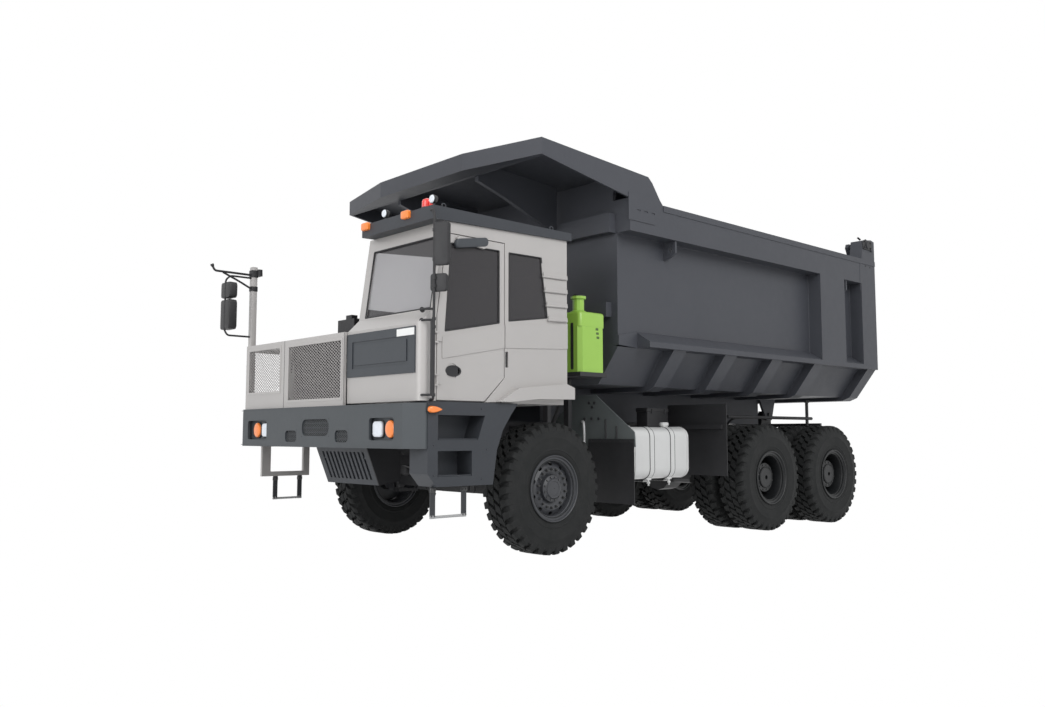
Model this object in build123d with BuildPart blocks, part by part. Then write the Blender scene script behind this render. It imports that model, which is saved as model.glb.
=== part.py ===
from build123d import *
from math import cos, radians, sin, tan
import os

# Wide-body six-by-four mining dump truck. +X is forward, +Y is the left side, +Z is up.
# The origin is on the ground, under the middle of the truck's box. All sizes are in millimetres.

# Running gear
front_axle_x = 2430
bogie_x = -2610
bogie_spread = 1760
tyre_radius = 746.5
tyre_width = 430
bead_radius = 320
flange_radius = 375
flange_half = 190
bead_gap = 0.3
wheel_flats = 16
front_wheel_y = 1540
outer_dual_y = 1725
inner_dual_y = 1225
kingpin_y = 1250
shaft_gap = 0.5
axle_z = tyre_radius
rear_axle_xs = (bogie_x + bogie_spread / 2, bogie_x - bogie_spread / 2)

# Frame
rail_inner_y = 380
rail_width = 100
rail_low_z = 1120
rail_high_z = 1520
rail_front_x = 4300
rail_rear_x = -4050
weld_gap = 0.3
rail_outer_y = rail_inner_y + rail_width

# Front end
bumper_front_x = 4487
bumper_depth = 110
bumper_low_z = 1213
bumper_high_z = 1669
bumper_half_y = 1830
bumper_back_x = bumper_front_x - bumper_depth
skirt_y = 1870
skirt_plate = 300
step_depth = 240

# Deck box right of the cab
deck_front_x = 4430
deck_right_y = -1830
deck_top_z = 2476
deck_plate = 36
seam = 6

# Cab
cab_front_x = 4390
cab_rear_x = 2330
cab_left_y = 1850
cab_right_y = 500
cab_wall = 60
cab_low_z = 1690
cowl_low_z = 2475
cowl_high_z = 2610
screen_low_x = 4250
screen_top_x = 4130
screen_top_z = 3450
roof_front_z = 3530
roof_fall = -0.025
roof_front_x = 4280
roof_rear_x = 2280
roof_plate_top_z = 3670
door_front_x = 4195
door_rear_x = 3295
door_top_z = 3410
door_corner_z = 1957
door_toe_x = 3574
door_seam = 10
hinge_line_y = 16
hinge_barrel_r = 12
arch_cut_x = 3412
glass_thick = 8

# Bed
bed_front_x = 1350
bed_tail_x = -4950
bed_half_y = 1976
panel_y = bed_half_y - 216
wall = 60
rail_foot_z = 3840
bed_top_z = 4250
floor_half_y = panel_y - 300
floor_low_z = 1920
knee_z = floor_low_z + 510
lower_rail_face_z = knee_z + 70
lower_rail_top_z = knee_z + 200
rib_proud = 60
hinge_x = -3920
hinge_z = 1680
hinge_pin_r = 45
canopy_front_z = 4682
canopy_slope = 0.055
canopy_nose_x = 3080
canopy_corner_x = 2850
canopy_nose_half_y = 850
canopy_rear_x = 995
canopy_plate = 30
fascia_drop = 206
canopy_foot_x = 724
beam_depth = 120
ear_top_z = bed_top_z + 360
gate_pin_x = bed_tail_x + 260
gate_pin_z = bed_top_z + 250
gate_gap = 12

# Hoist
hoist_x = 1780
hoist_low_z = 1000
hoist_high_z = 2720
barrel_r = 150
stage_step = 25
stage_gap = 0.5


def block(x0, x1, y0, y1, z0, z1, mode=Mode.ADD):
    """A box between two corners."""
    with Locations(((x0 + x1) / 2, (y0 + y1) / 2, (z0 + z1) / 2)):
        Box(x1 - x0, y1 - y0, z1 - z0, mode=mode)


def side_plate(points, y0, y1, mode=Mode.ADD):
    """A plate whose outline is drawn in x and z, from y0 to y1."""
    with BuildSketch(Plane(origin=(0, y1, 0), x_dir=(1, 0, 0), z_dir=(0, -1, 0))) as outline:
        with BuildLine():
            Polyline(*points, close=True)
        make_face()
    extrude(outline.sketch, amount=y1 - y0, mode=mode)


def cross_plate(points, x0, x1, mode=Mode.ADD):
    """A plate whose outline is drawn in y and z, from x0 to x1."""
    with BuildSketch(Plane(origin=(x0, 0, 0), x_dir=(0, 1, 0), z_dir=(1, 0, 0))) as outline:
        with BuildLine():
            Polyline(*points, close=True)
        make_face()
    extrude(outline.sketch, amount=x1 - x0, mode=mode)


def flat_plate(points, z0, z1, mode=Mode.ADD):
    """A plate whose outline is drawn in x and y, from z0 to z1."""
    with BuildSketch(Plane.XY.offset(z0)) as outline:
        with BuildLine():
            Polyline(*points, close=True)
        make_face()
    extrude(outline.sketch, amount=z1 - z0, mode=mode)


def bar(plane, r, length, mode, flats):
    """A bar that starts on a plane: with flats, or round where flats is 0."""
    with BuildSketch(plane) as outline:
        if flats:
            RegularPolygon(r, flats)
        else:
            Circle(r)
    extrude(outline.sketch, amount=length, mode=mode)


def bar_y(x, z, r, y0, y1, mode=Mode.ADD, flats=12):
    """A bar along Y."""
    bar(Plane(origin=(x, min(y0, y1), z), x_dir=(1, 0, 0), z_dir=(0, 1, 0)), r, abs(y1 - y0), mode, flats)


def bar_x(y, z, r, x0, x1, mode=Mode.ADD, flats=12):
    """A bar along X."""
    bar(Plane(origin=(min(x0, x1), y, z), x_dir=(0, 1, 0), z_dir=(1, 0, 0)), r, abs(x1 - x0), mode, flats)


def bar_z(x, y, r, z0, z1, mode=Mode.ADD, flats=12):
    """A bar along Z."""
    bar(Plane(origin=(x, y, min(z0, z1))), r, abs(z1 - z0), mode, flats)


def wedge(flats, reach):
    """One of a wheel's equal sectors, its point on the axle and its middle facing up."""
    half = reach * tan(radians(180 / flats))
    side_plate(((0, 0), (half, reach), (-half, reach)), -reach, reach)


def wheel_place(x, y, side):
    """Where a wheel's form goes; the right ones are turned round."""
    return Location((x, side * y, axle_z), (0, 0, 0 if side > 0 else 180))


def save(piece, label):
    """Label a finished piece and write it."""
    piece.part.label = label
    export_step(piece.part, f"parts/{label}.step")


os.makedirs("parts", exist_ok=True)


# Tyre form: a carcass of flat sectors, each with one slanted lug that runs down both shoulders
tread_base_r = 705
tread_half = 186
lug_foot_r = 610
bead_lean = 9.5
with BuildPart() as lug:
    flat_plate(
        ((-95, -tyre_width / 2), (25, -tyre_width / 2), (95, tyre_width / 2), (-25, tyre_width / 2)),
        lug_foot_r,
        tyre_radius,
    )
    cross_plate(
        (
            (-tyre_width / 2 + 3, lug_foot_r),
            (-tread_half, tyre_radius),
            (tread_half, tyre_radius),
            (tyre_width / 2 - 3, lug_foot_r),
        ),
        -200,
        200,
        Mode.INTERSECT,
    )

with BuildPart() as tyre_sector:
    wedge(wheel_flats, 1.1 * tyre_radius)
    cross_plate(
        (
            (-flange_half + bead_lean, bead_radius),
            (-tyre_width / 2, 530),
            (-tread_half, tread_base_r),
            (tread_half, tread_base_r),
            (tyre_width / 2, 530),
            (flange_half - bead_lean, bead_radius),
        ),
        -300,
        300,
        Mode.INTERSECT,
    )
    add(lug.part)

with BuildPart() as tyre_form:
    for i in range(wheel_flats):
        add(tyre_sector.part.moved(Location((0, 0, 0), (0, 360 * i / wheel_flats, 0))))

# Front rim form: a dished disc with hand holes between the hub and the well
well = bead_radius - bead_gap
spindle_r = 60
hub_r = 150
front_disc_out = 60
rim_thick = 12
with BuildPart() as front_sector:
    wedge(wheel_flats, 1.2 * flange_radius)
    cross_plate(
        (
            (-flange_half, well),
            (-flange_half, flange_radius),
            (-flange_half - 20, flange_radius),
            (-flange_half - 20, well - rim_thick),
            (front_disc_out - 14, well - rim_thick),
            (front_disc_out + 30, 250),
            (front_disc_out + 20, 190),
            (front_disc_out, hub_r - 20),
            (front_disc_out + 22, hub_r - 20),
            (front_disc_out + 42, 190),
            (front_disc_out + 52, 250),
            (front_disc_out + 10, well - rim_thick),
            (flange_half + 20, well - rim_thick),
            (flange_half + 20, flange_radius),
            (flange_half, flange_radius),
            (flange_half, well),
        ),
        -200,
        200,
        Mode.INTERSECT,
    )

with BuildPart() as front_rim_form:
    for i in range(wheel_flats):
        add(front_sector.part.moved(Location((0, 0, 0), (0, 360 * i / wheel_flats, 0))))
    for i in range(0, wheel_flats, 2):
        turn = radians(360 * i / wheel_flats)
        bar_y(
            275 * sin(turn),
            275 * cos(turn),
            27,
            front_disc_out - 30,
            front_disc_out + 80,
            Mode.SUBTRACT,
            flats=8,
        )
    bar_y(0, 0, hub_r, -120, 130, flats=wheel_flats)
    bar_y(0, 0, hub_r - 30, 130, 150, flats=wheel_flats)
    bar_y(0, 0, spindle_r + shaft_gap, -121, 119, Mode.SUBTRACT, flats=0)

for name, side in (("left", 1), ("right", -1)):
    place = wheel_place(front_axle_x, front_wheel_y, side)
    with BuildPart() as tyre:
        add(tyre_form.part.moved(place))
    save(tyre, f"front_{name}_tyre")
    with BuildPart() as rim:
        add(front_rim_form.part.moved(place))
    save(rim, f"front_{name}_rim")

# Rear rim form: two deep-dished rims bolted to one hub drum, about the middle between the tyres
axle_end_y = 1000
drum_r = 210
drum_in_y = 1120
drum_out_y = 1815
disc_y = (outer_dual_y + inner_dual_y) / 2
disc_half = 16
rear_spindle_r = 70
half_spread = (outer_dual_y - inner_dual_y) / 2
with BuildPart() as rear_sector:
    wedge(wheel_flats, 1.2 * flange_radius)
    cross_plate(
        (
            (-half_spread - flange_half, well),
            (-half_spread - flange_half, flange_radius),
            (-half_spread - flange_half - 20, flange_radius),
            (-half_spread - flange_half - 20, well - rim_thick),
            (-disc_half, well - rim_thick),
            (-disc_half, drum_r - 20),
            (disc_half, drum_r - 20),
            (disc_half, well - rim_thick),
            (half_spread + flange_half + 20, well - rim_thick),
            (half_spread + flange_half + 20, flange_radius),
            (half_spread + flange_half, flange_radius),
            (half_spread + flange_half, well),
            (half_spread - flange_half, well),
            (half_spread - flange_half, flange_radius),
            (half_spread - flange_half - 20, flange_radius),
            (half_spread - flange_half - 20, well),
            (-half_spread + flange_half + 20, well),
            (-half_spread + flange_half + 20, flange_radius),
            (-half_spread + flange_half, flange_radius),
            (-half_spread + flange_half, well),
        ),
        -200,
        200,
        Mode.INTERSECT,
    )

with BuildPart() as rear_rim_form:
    for i in range(wheel_flats):
        add(rear_sector.part.moved(Location((0, 0, 0), (0, 360 * i / wheel_flats, 0))))
    bar_y(0, 0, drum_r, drum_in_y - disc_y, drum_out_y - disc_y, flats=wheel_flats)
    bar_y(0, 0, drum_r - 60, drum_out_y - disc_y, drum_out_y - disc_y + 25, flats=wheel_flats)
    bar_y(
        0,
        0,
        rear_spindle_r + shaft_gap,
        drum_in_y - disc_y - 1,
        drum_out_y - disc_y - 60,
        Mode.SUBTRACT,
        flats=0,
    )

for row, x in enumerate(rear_axle_xs, start=1):
    for name, side in (("left", 1), ("right", -1)):
        with BuildPart() as tyres:
            for y in (inner_dual_y, outer_dual_y):
                add(tyre_form.part.moved(wheel_place(x, y, side)))
        save(tyres, f"rear_{name}_tyres_{row}")
        with BuildPart() as rims:
            add(rear_rim_form.part.moved(wheel_place(x, disc_y, side)))
        save(rims, f"rear_{name}_rims_{row}")

# Knuckles: a yoke on the kingpin that carries the spindle
pin_r = 40
yoke_half = 45
beam_eye_half = 110
for name, side in (("left", 1), ("right", -1)):
    with BuildPart() as knuckle:
        inner = side * (kingpin_y - 60)
        outer = side * (kingpin_y + 70)
        y0, y1 = sorted((inner, outer))
        for z0, z1 in ((beam_eye_half + 1, beam_eye_half + 51), (-beam_eye_half - 51, -beam_eye_half - 1)):
            block(front_axle_x - 60, front_axle_x + 60, y0, y1, axle_z + z0, axle_z + z1)
        y0, y1 = sorted((side * (kingpin_y + 62), outer))
        block(
            front_axle_x - 60,
            front_axle_x + 60,
            y0,
            y1,
            axle_z - beam_eye_half - 51,
            axle_z + beam_eye_half + 51,
        )
        bar_y(front_axle_x, axle_z, spindle_r, outer, side * (front_wheel_y + 100), flats=24)
        bar_z(
            front_axle_x,
            side * kingpin_y,
            pin_r - shaft_gap,
            axle_z - beam_eye_half - 20,
            axle_z + beam_eye_half + 20,
            flats=0,
        )
        arm_y0, arm_y1 = sorted((side * (kingpin_y - 60), side * (kingpin_y - 20)))
        block(
            front_axle_x - 260,
            front_axle_x - 60,
            arm_y0,
            arm_y1,
            axle_z - beam_eye_half - 51,
            axle_z - beam_eye_half - 11,
        )
    save(knuckle, f"{name}_knuckle")

# Front axle: a dropped forged beam with an eye at each kingpin
with BuildPart() as front_axle:
    block(front_axle_x - 65, front_axle_x + 65, -760, 760, axle_z - 110, axle_z + 60)
    for side in (1, -1):
        y0, y1 = sorted((side * 760, side * (kingpin_y - 50)))
        block(front_axle_x - 60, front_axle_x + 60, y0, y1, axle_z - 70, axle_z + 70)
        bar_z(front_axle_x, side * kingpin_y, 58, axle_z - beam_eye_half, axle_z + beam_eye_half)
        y0, y1 = sorted((side * (kingpin_y - 60), side * (kingpin_y - 40)))
        block(front_axle_x - 50, front_axle_x + 50, y0, y1, axle_z - 70, axle_z + 70)
        bar_z(front_axle_x, side * kingpin_y, pin_r, axle_z - 130, axle_z + 130, Mode.SUBTRACT, flats=0)
save(front_axle, "front_axle")

# Rear axles: a banjo housing, its tubes, the spindles that the drums run on and the propeller shafts
gearbox_x = 1960
banjo_r = 250
tube_r = 130
with BuildPart() as rear_axles:
    for x in rear_axle_xs:
        bar_y(x, axle_z, tube_r, -axle_end_y, axle_end_y)
        bar_x(0, axle_z, banjo_r, x - 170, x + 170)
        bar_x(0, axle_z, 90, x + 170, x + 330)
        for side in (1, -1):
            bar_y(x, axle_z, 95, side * axle_end_y, side * (drum_in_y - 10))
            bar_y(x, axle_z, rear_spindle_r, side * (drum_in_y - 10), side * (drum_out_y - 80), flats=24)
    bar_x(0, axle_z, 60, rear_axle_xs[0] + 330, gearbox_x)
    bar_x(0, axle_z, 60, rear_axle_xs[1] + 330, rear_axle_xs[0] - 170)
save(rear_axles, "rear_axles")

# Suspension: front leaf packs on the beam, and inverted packs on the bogie's trunnion
spring_y = 430
with BuildPart() as suspension:
    for side in (1, -1):
        y0, y1 = sorted((side * (spring_y - 45), side * (spring_y + 45)))
        side_plate(
            (
                (front_axle_x - 850, rail_low_z - 40),
                (front_axle_x - 850, rail_low_z),
                (front_axle_x - 780, rail_low_z),
                (front_axle_x, axle_z + 200),
                (front_axle_x + 780, rail_low_z),
                (front_axle_x + 850, rail_low_z),
                (front_axle_x + 850, rail_low_z - 40),
                (front_axle_x + 620, rail_low_z - 110),
                (front_axle_x + 600, rail_low_z - 130),
                (front_axle_x + 420, rail_low_z - 190),
                (front_axle_x + 400, rail_low_z - 215),
                (front_axle_x + 200, axle_z + 60),
                (front_axle_x - 200, axle_z + 60),
                (front_axle_x - 400, rail_low_z - 215),
                (front_axle_x - 420, rail_low_z - 190),
                (front_axle_x - 600, rail_low_z - 130),
                (front_axle_x - 620, rail_low_z - 110),
            ),
            y0,
            y1,
        )
    for side in (1, -1):
        y0, y1 = sorted((side * 620, side * 740))
        side_plate(
            (
                (rear_axle_xs[1] - 130, axle_z + tube_r),
                (rear_axle_xs[1] - 130, axle_z + tube_r + 60),
                (bogie_x - 180, rail_low_z + 80),
                (bogie_x + 180, rail_low_z + 80),
                (rear_axle_xs[0] + 130, axle_z + tube_r + 60),
                (rear_axle_xs[0] + 130, axle_z + tube_r),
                (bogie_x + 260, axle_z + 190),
                (bogie_x - 260, axle_z + 190),
            ),
            y0,
            y1,
        )
    bar_y(bogie_x, axle_z + 250, 70, -740, 740)
    for side in (1, -1):
        y0, y1 = sorted((side * rail_outer_y, side * 620))
        block(bogie_x - 150, bogie_x + 150, y0, y1, axle_z + 200, rail_low_z + 150)
save(suspension, "suspension")

# Ladder frame: two box rails joined by cross members, with the bed's hinge pins and the oil tank's bracket
cross_xs = (4230, 1200, 300, -1150, bogie_x, rail_rear_x + 120)
trunnion_out = 230
tow_x = rail_rear_x - 80
tow_pin_r = 30
tow_z = 1300
tank_shelf_z = 2040
tank_floor_z = 2090
with BuildPart() as frame:
    for side in (1, -1):
        y0, y1 = sorted((side * rail_inner_y, side * rail_outer_y))
        side_plate(
            (
                (rail_rear_x, rail_low_z),
                (3600, rail_low_z),
                (3700, bumper_low_z),
                (rail_front_x, bumper_low_z),
                (rail_front_x, rail_high_z),
                (rail_rear_x, rail_high_z),
            ),
            y0,
            y1,
        )
        side_plate(
            (
                (hinge_x - 130, rail_high_z - 200),
                (hinge_x + 250, rail_high_z - 200),
                (hinge_x + 90, hinge_z + 70),
                (hinge_x - 90, hinge_z + 70),
                (hinge_x - 130, hinge_z),
            ),
            y0,
            y1,
        )
        bar_y(
            hinge_x,
            hinge_z,
            hinge_pin_r,
            side * (rail_inner_y - 5),
            side * (rail_outer_y + 5),
            Mode.SUBTRACT,
            flats=0,
        )
        bar_y(
            hinge_x,
            hinge_z,
            hinge_pin_r - shaft_gap,
            side * (rail_inner_y - 60),
            side * (rail_outer_y + 70),
            flats=0,
        )
    for x in cross_xs:
        block(
            x - 60,
            x + 60,
            -rail_inner_y + weld_gap,
            rail_inner_y - weld_gap,
            rail_low_z + 100,
            rail_high_z - 60,
        )
    for side in (1, -1):
        y0, y1 = sorted((side * (barrel_r + 10), side * (rail_inner_y - weld_gap)))
        block(hoist_x - 70, hoist_x + 70, y0, y1, hoist_low_z - 70, rail_high_z - 60)
        bar_y(
            hoist_x,
            hoist_low_z,
            40 + shaft_gap,
            side * barrel_r,
            side * (trunnion_out + 5),
            Mode.SUBTRACT,
            flats=0,
        )
    for z0, z1 in ((tow_z - 70, tow_z - 40), (tow_z + 40, tow_z + 70)):
        block(tow_x - 60, rail_rear_x + 60, -60, 60, z0, z1)
    bar_z(tow_x, 0, tow_pin_r, tow_z - 71, tow_z + 71, Mode.SUBTRACT, flats=0)
    block(1560, 2020, 1100, 1760, tank_shelf_z, tank_floor_z)
    for x in (1600, 1960):
        block(x - 30, x + 30, 1100, 1180, 1400, tank_shelf_z)
        block(x - 30, x + 30, rail_outer_y + weld_gap, 1100, 1400, 1460)
save(frame, "chassis_frame")

# Engine and gearbox, as plain blocks between the rails, then the radiator and its header tank on the deck
seat_gap = 0.3
with BuildPart() as engine:
    block(2780, 3880, -rail_inner_y + 10, rail_inner_y - 10, 1000, 1950)
    block(gearbox_x, 2780, -220, 220, 900, 1450)
    block(gearbox_x, gearbox_x + 240, -150, 150, 660, 900)
    for side in (1, -1):
        y0, y1 = sorted((side * (rail_inner_y - 10), side * rail_inner_y))
        block(3000, 3200, y0, y1, 1250, 1400)
        block(3600, 3800, y0, y1, 1250, 1400)
save(engine, "engine_block")

with BuildPart() as radiator:
    block(4160, 4270, -730, 430, rail_high_z, 2400)
    block(3950, 4110, -170, 180, deck_top_z + seat_gap, deck_top_z + 210)
    block(3990, 4070, -60, 60, deck_top_z + 210, deck_top_z + 264)
save(radiator, "radiator")

# Bumper: a folded plate beam with bevelled front corners, lamp pockets and vents
lamp_pocket = 60
with BuildPart() as bumper:
    flat_plate(
        (
            (bumper_back_x, -bumper_half_y),
            (bumper_front_x - 60, -bumper_half_y),
            (bumper_front_x, -bumper_half_y + 60),
            (bumper_front_x, bumper_half_y - 150),
            (bumper_front_x - 150, skirt_y - 10),
            (bumper_back_x - 60, skirt_y - 10),
            (bumper_back_x - 60, skirt_y - 90),
            (bumper_back_x, skirt_y - 90),
        ),
        bumper_low_z,
        bumper_high_z,
    )
    for y0, y1 in ((1075, 1540), (-1640, -1130)):
        block(bumper_front_x - lamp_pocket, bumper_front_x + 1, y0, y1, 1285, 1535, Mode.SUBTRACT)
    for y0, y1, z0, z1 in ((-300, 300, 1330, 1535), (410, 690, 1260, 1410), (-690, -410, 1260, 1410)):
        block(bumper_front_x - 40, bumper_front_x + 1, y0, y1, z0, z1, Mode.SUBTRACT)
    for z in (1381, 1432, 1483):
        block(bumper_front_x - 40, bumper_front_x - 28, -300, 300, z - 8, z + 8)
    for y in (550, -550):
        for z in (1310, 1360):
            block(bumper_front_x - 40, bumper_front_x - 28, y - 140, y + 140, z - 7, z + 7)
    for side in (1, -1):
        y0, y1 = sorted((side * rail_inner_y, side * rail_outer_y))
        block(rail_front_x, bumper_back_x, y0, y1, bumper_low_z + 20, rail_high_z)
save(bumper, "front_bumper")

# Lamps in the bumper pockets: a squarish headlamp inboard and an oval indicator outboard
lamp_z = 1410
with BuildPart() as front_lamps:
    for y in (1200, -1230):
        block(bumper_front_x - lamp_pocket, bumper_front_x - 15, y - 85, y + 85, lamp_z - 75, lamp_z + 75)
    for y in (1430, -1440):
        bar_x(y, lamp_z, 72, bumper_front_x - lamp_pocket, bumper_front_x - 15)
    block(4160, 4330, skirt_y, skirt_y + 70, 1585, 1635)
save(front_lamps, "front_lamps")

# Left skirt: a step box ahead of the wheel, with two step recesses and a trimmed arch edge
arch_edge = ((3464, 835), (3409, 1193), (3325, 1403), (3211, 1563), (3110, cab_low_z - seam))
with BuildPart() as left_skirt:
    side_plate(
        (
            (bumper_back_x - 61, cab_low_z - seam),
            (bumper_back_x - 61, 964),
            (bumper_back_x - 176, 835),
            *arch_edge,
        ),
        skirt_y - skirt_plate,
        skirt_y,
    )
    side_plate(
        ((4190, 1300), (4190, 1550), (3576, 1550), (3671, 1300)),
        skirt_y - step_depth,
        skirt_y + 1,
        Mode.SUBTRACT,
    )
    side_plate(
        ((4190, 935), (4190, 1190), (3750, 1190), (3750, 935)),
        skirt_y - step_depth,
        skirt_y + 1,
        Mode.SUBTRACT,
    )
    block(3720, 3820, rail_outer_y, skirt_y - skirt_plate, 1300, 1400)
save(left_skirt, "left_skirt")

# Right skirt: an open step frame under the deck
with BuildPart() as right_skirt:
    side_plate(
        (
            (3520, 820),
            (4200, 820),
            (4200, 1200),
            (bumper_back_x - 5, 1240),
            (bumper_back_x - 5, bumper_high_z),
            (3520, bumper_high_z),
        ),
        deck_right_y,
        deck_right_y + 40,
    )
    block(3610, 4080, deck_right_y - 1, deck_right_y + 41, 880, 1200, Mode.SUBTRACT)
    block(3720, 3820, deck_right_y + 40, -rail_outer_y, 1300, 1400)
save(right_skirt, "right_skirt")

# Hanging steps: two rubber straps and a rung under each skirt
with BuildPart() as hanging_steps:
    for y, xs, low in ((1800, (4200, 3800), 835), (-1810, (4000, 3650), 820)):
        for x in xs:
            block(x - 30, x + 30, y - 8, y + 8, 520, low)
        bar_x(y, 535, 14, xs[1] - 20, xs[0] + 20)
save(hanging_steps, "hanging_steps")

# Radiator guard: a sloped plate under the bumper with eleven slots between side plates
guard_half_y = 540
guard_top_z = 1207
with BuildPart() as guard:
    for side in (1, -1):
        y0, y1 = sorted((side * (guard_half_y - 20), side * guard_half_y))
        side_plate(((3700, 830), (3700, 1180), (4150, guard_top_z), (3980, 790)), y0, y1)
    side_plate(
        ((4150, guard_top_z), (3980, 790), (3955, 790), (4125, guard_top_z)), -guard_half_y, guard_half_y
    )
    slot_pitch = 84
    for i in range(-5, 6):
        y = i * slot_pitch
        block(3900, 4200, y - 20, y + 20, 850, 1160, Mode.SUBTRACT)
    for side in (1, -1):
        y0, y1 = sorted((side * rail_inner_y, side * rail_outer_y))
        block(4050, 4095, y0, y1, 1080, bumper_low_z)
save(guard, "radiator_guard")

# Deck box: front frame with two grille openings, the deck plate and the right side with its wheel arch
big_grille = (-730, 430, 1760, 2390)
small_grille = (-1740, -950, 1880, 2400)
deck_left_y = cab_right_y - seam
with BuildPart() as deck_front:
    block(
        deck_front_x - 30, deck_front_x, deck_right_y, deck_left_y, bumper_high_z, deck_top_z - deck_plate
    )
    for y0, y1, z0, z1 in (big_grille, small_grille):
        block(deck_front_x - 31, deck_front_x + 1, y0, y1, z0, z1, Mode.SUBTRACT)
save(deck_front, "deck_front_frame")

with BuildPart() as deck_plate_part:
    block(cab_rear_x, deck_front_x, deck_right_y, deck_left_y, deck_top_z - deck_plate, deck_top_z)
save(deck_plate_part, "deck_plate")

flare_out = 70
flare = (
    (2277, 1751),
    (2276, 1881),
    (2405, 1922),
    (3126, 1853),
    (arch_cut_x, 1700),
    (3250, 1700),
    (2859, 1741),
)
with BuildPart() as deck_side:
    side_plate(
        (
            (cab_rear_x, 1751),
            (2859, 1741),
            (3250, 1700),
            (3500, bumper_high_z),
            (deck_front_x - 30, bumper_high_z),
            (deck_front_x - 30, deck_top_z - deck_plate),
            (cab_rear_x, deck_top_z - deck_plate),
        ),
        deck_right_y,
        deck_right_y + 40,
    )
    side_plate(flare, deck_right_y - flare_out, deck_right_y)
    block(3880, 4330, deck_right_y - 1, deck_right_y + 41, 1880, 2400, Mode.SUBTRACT)
save(deck_side, "deck_right_side")

# Grilles: a lattice in each opening
with BuildPart() as grilles:
    for (y0, y1, z0, z1), upright, across in ((big_grille, 9, 5), (small_grille, 6, 5)):
        for i in range(1, across):
            z = z0 + (z1 - z0) * i / across
            block(deck_front_x - 20, deck_front_x - 8, y0, y1, z - 8, z + 8)
        for i in range(1, upright):
            y = y0 + (y1 - y0) * i / upright
            block(deck_front_x - 20, deck_front_x - 8, y - 8, y + 8, z0, z1)
save(grilles, "grille_mesh")

# Cab front: lower panel, cowl and windscreen frame, with the corner pillars
def screen_x(z):
    """The windscreen's outer face at a height."""
    return screen_low_x + (z - cowl_high_z) * (screen_top_x - screen_low_x) / (screen_top_z - cowl_high_z)


def roof_z(x):
    """Underside of the roof plate."""
    return roof_front_z + (x - roof_front_x) * roof_fall


pillar = 62
header_z = door_top_z + door_seam
cab_top_z = roof_z(screen_top_x)
corner_x = door_front_x + door_seam
hinge_line_x = door_front_x + door_seam / 2
hinge_y = cab_left_y + hinge_line_y
door_hinge_zs = (1900, 2330)
screen_y = (620, 1800)
with BuildPart() as cab_front:
    side_plate(
        (
            (corner_x, cab_low_z),
            (cab_front_x, cab_low_z),
            (cab_front_x, cowl_low_z),
            (screen_low_x, cowl_high_z),
            (screen_x(header_z), header_z),
            (screen_x(header_z) - pillar + door_seam, header_z),
            (screen_low_x - pillar + door_seam, cowl_high_z),
            (corner_x, cowl_high_z - 40),
        ),
        cab_right_y,
        cab_left_y,
    )
    front_edges = cab_front.edges().filter_by(Axis.Z).filter_by_position(Axis.X, cab_front_x - 1, cab_front_x + 1)
    fillet(front_edges.sort_by(Axis.Y)[-1:], radius=90)
    side_plate(
        (
            (corner_x - 10, cab_low_z - 10),
            (cab_front_x - cab_wall, cab_low_z - 10),
            (cab_front_x - cab_wall, cowl_low_z - 30),
            (screen_low_x - 48, cowl_high_z - 60),
            (corner_x - 10, cowl_high_z - 60),
        ),
        cab_right_y + cab_wall,
        cab_left_y - cab_wall,
        Mode.SUBTRACT,
    )
    block(
        corner_x - 150,
        cab_front_x,
        screen_y[0],
        screen_y[1],
        cowl_high_z + 20,
        door_top_z - 30,
        Mode.SUBTRACT,
    )
    for z in door_hinge_zs:
        bar_z(hinge_line_x, hinge_y, hinge_barrel_r - 4.5, z - 60, z + 60, flats=0)
        for z0, z1 in ((z - 60, z - 42), (z + 42, z + 60)):
            bar_z(hinge_line_x, hinge_y, hinge_barrel_r, z0, z1, flats=0)
            block(corner_x, corner_x + 32, cab_left_y, hinge_y + hinge_barrel_r, z0, z1)
save(cab_front, "cab_front")

# Cab left side behind the door, with the rear window and the wheel-arch flare
rear_window = ((3225, 3321), (2740, 3328), (2649, 2658), (3225, 2575))
belt_low_z = 2279
belt_high_z = 2525
belt_proud = 10
right_window = ((3980, 3321), (2700, 3321), (2640, 2640), (4060, 2640))
with BuildPart() as cab_left:
    side_plate(
        (
            (cab_rear_x, 1751),
            (2859, 1741),
            (3250, 1700),
            (door_toe_x - 1.4 * door_seam, cab_low_z + 1),
            (door_rear_x - door_seam, door_corner_z),
            (door_rear_x - door_seam, header_z),
            (cab_rear_x, header_z),
        ),
        cab_left_y - cab_wall,
        cab_left_y,
    )
    side_plate(flare, cab_left_y, cab_left_y + flare_out)
    side_plate(rear_window, cab_left_y - cab_wall - 1, cab_left_y + 1, Mode.SUBTRACT)
    side_plate(
        (
            (cab_rear_x, belt_low_z + 48),
            (cab_rear_x, belt_high_z + 90),
            (door_rear_x - door_seam, belt_high_z),
            (door_rear_x - door_seam, belt_low_z),
        ),
        cab_left_y,
        cab_left_y + belt_proud,
    )
    for i in range(4):
        z = 2630 + 162 * i
        x = 2640 + 27 * i
        side_plate(
            ((cab_rear_x + 12, z), (x, z), (x + 20, z + 150), (cab_rear_x + 12, z + 150)),
            cab_left_y,
            cab_left_y + 8,
        )
        block(cab_rear_x + 12, x, cab_left_y + 8, cab_left_y + 22, z, z + 50)
    block(3235, 3275, cab_left_y - 25, cab_left_y + 1, 2070, 2240, Mode.SUBTRACT)
save(cab_left, "cab_left_side")

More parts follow.
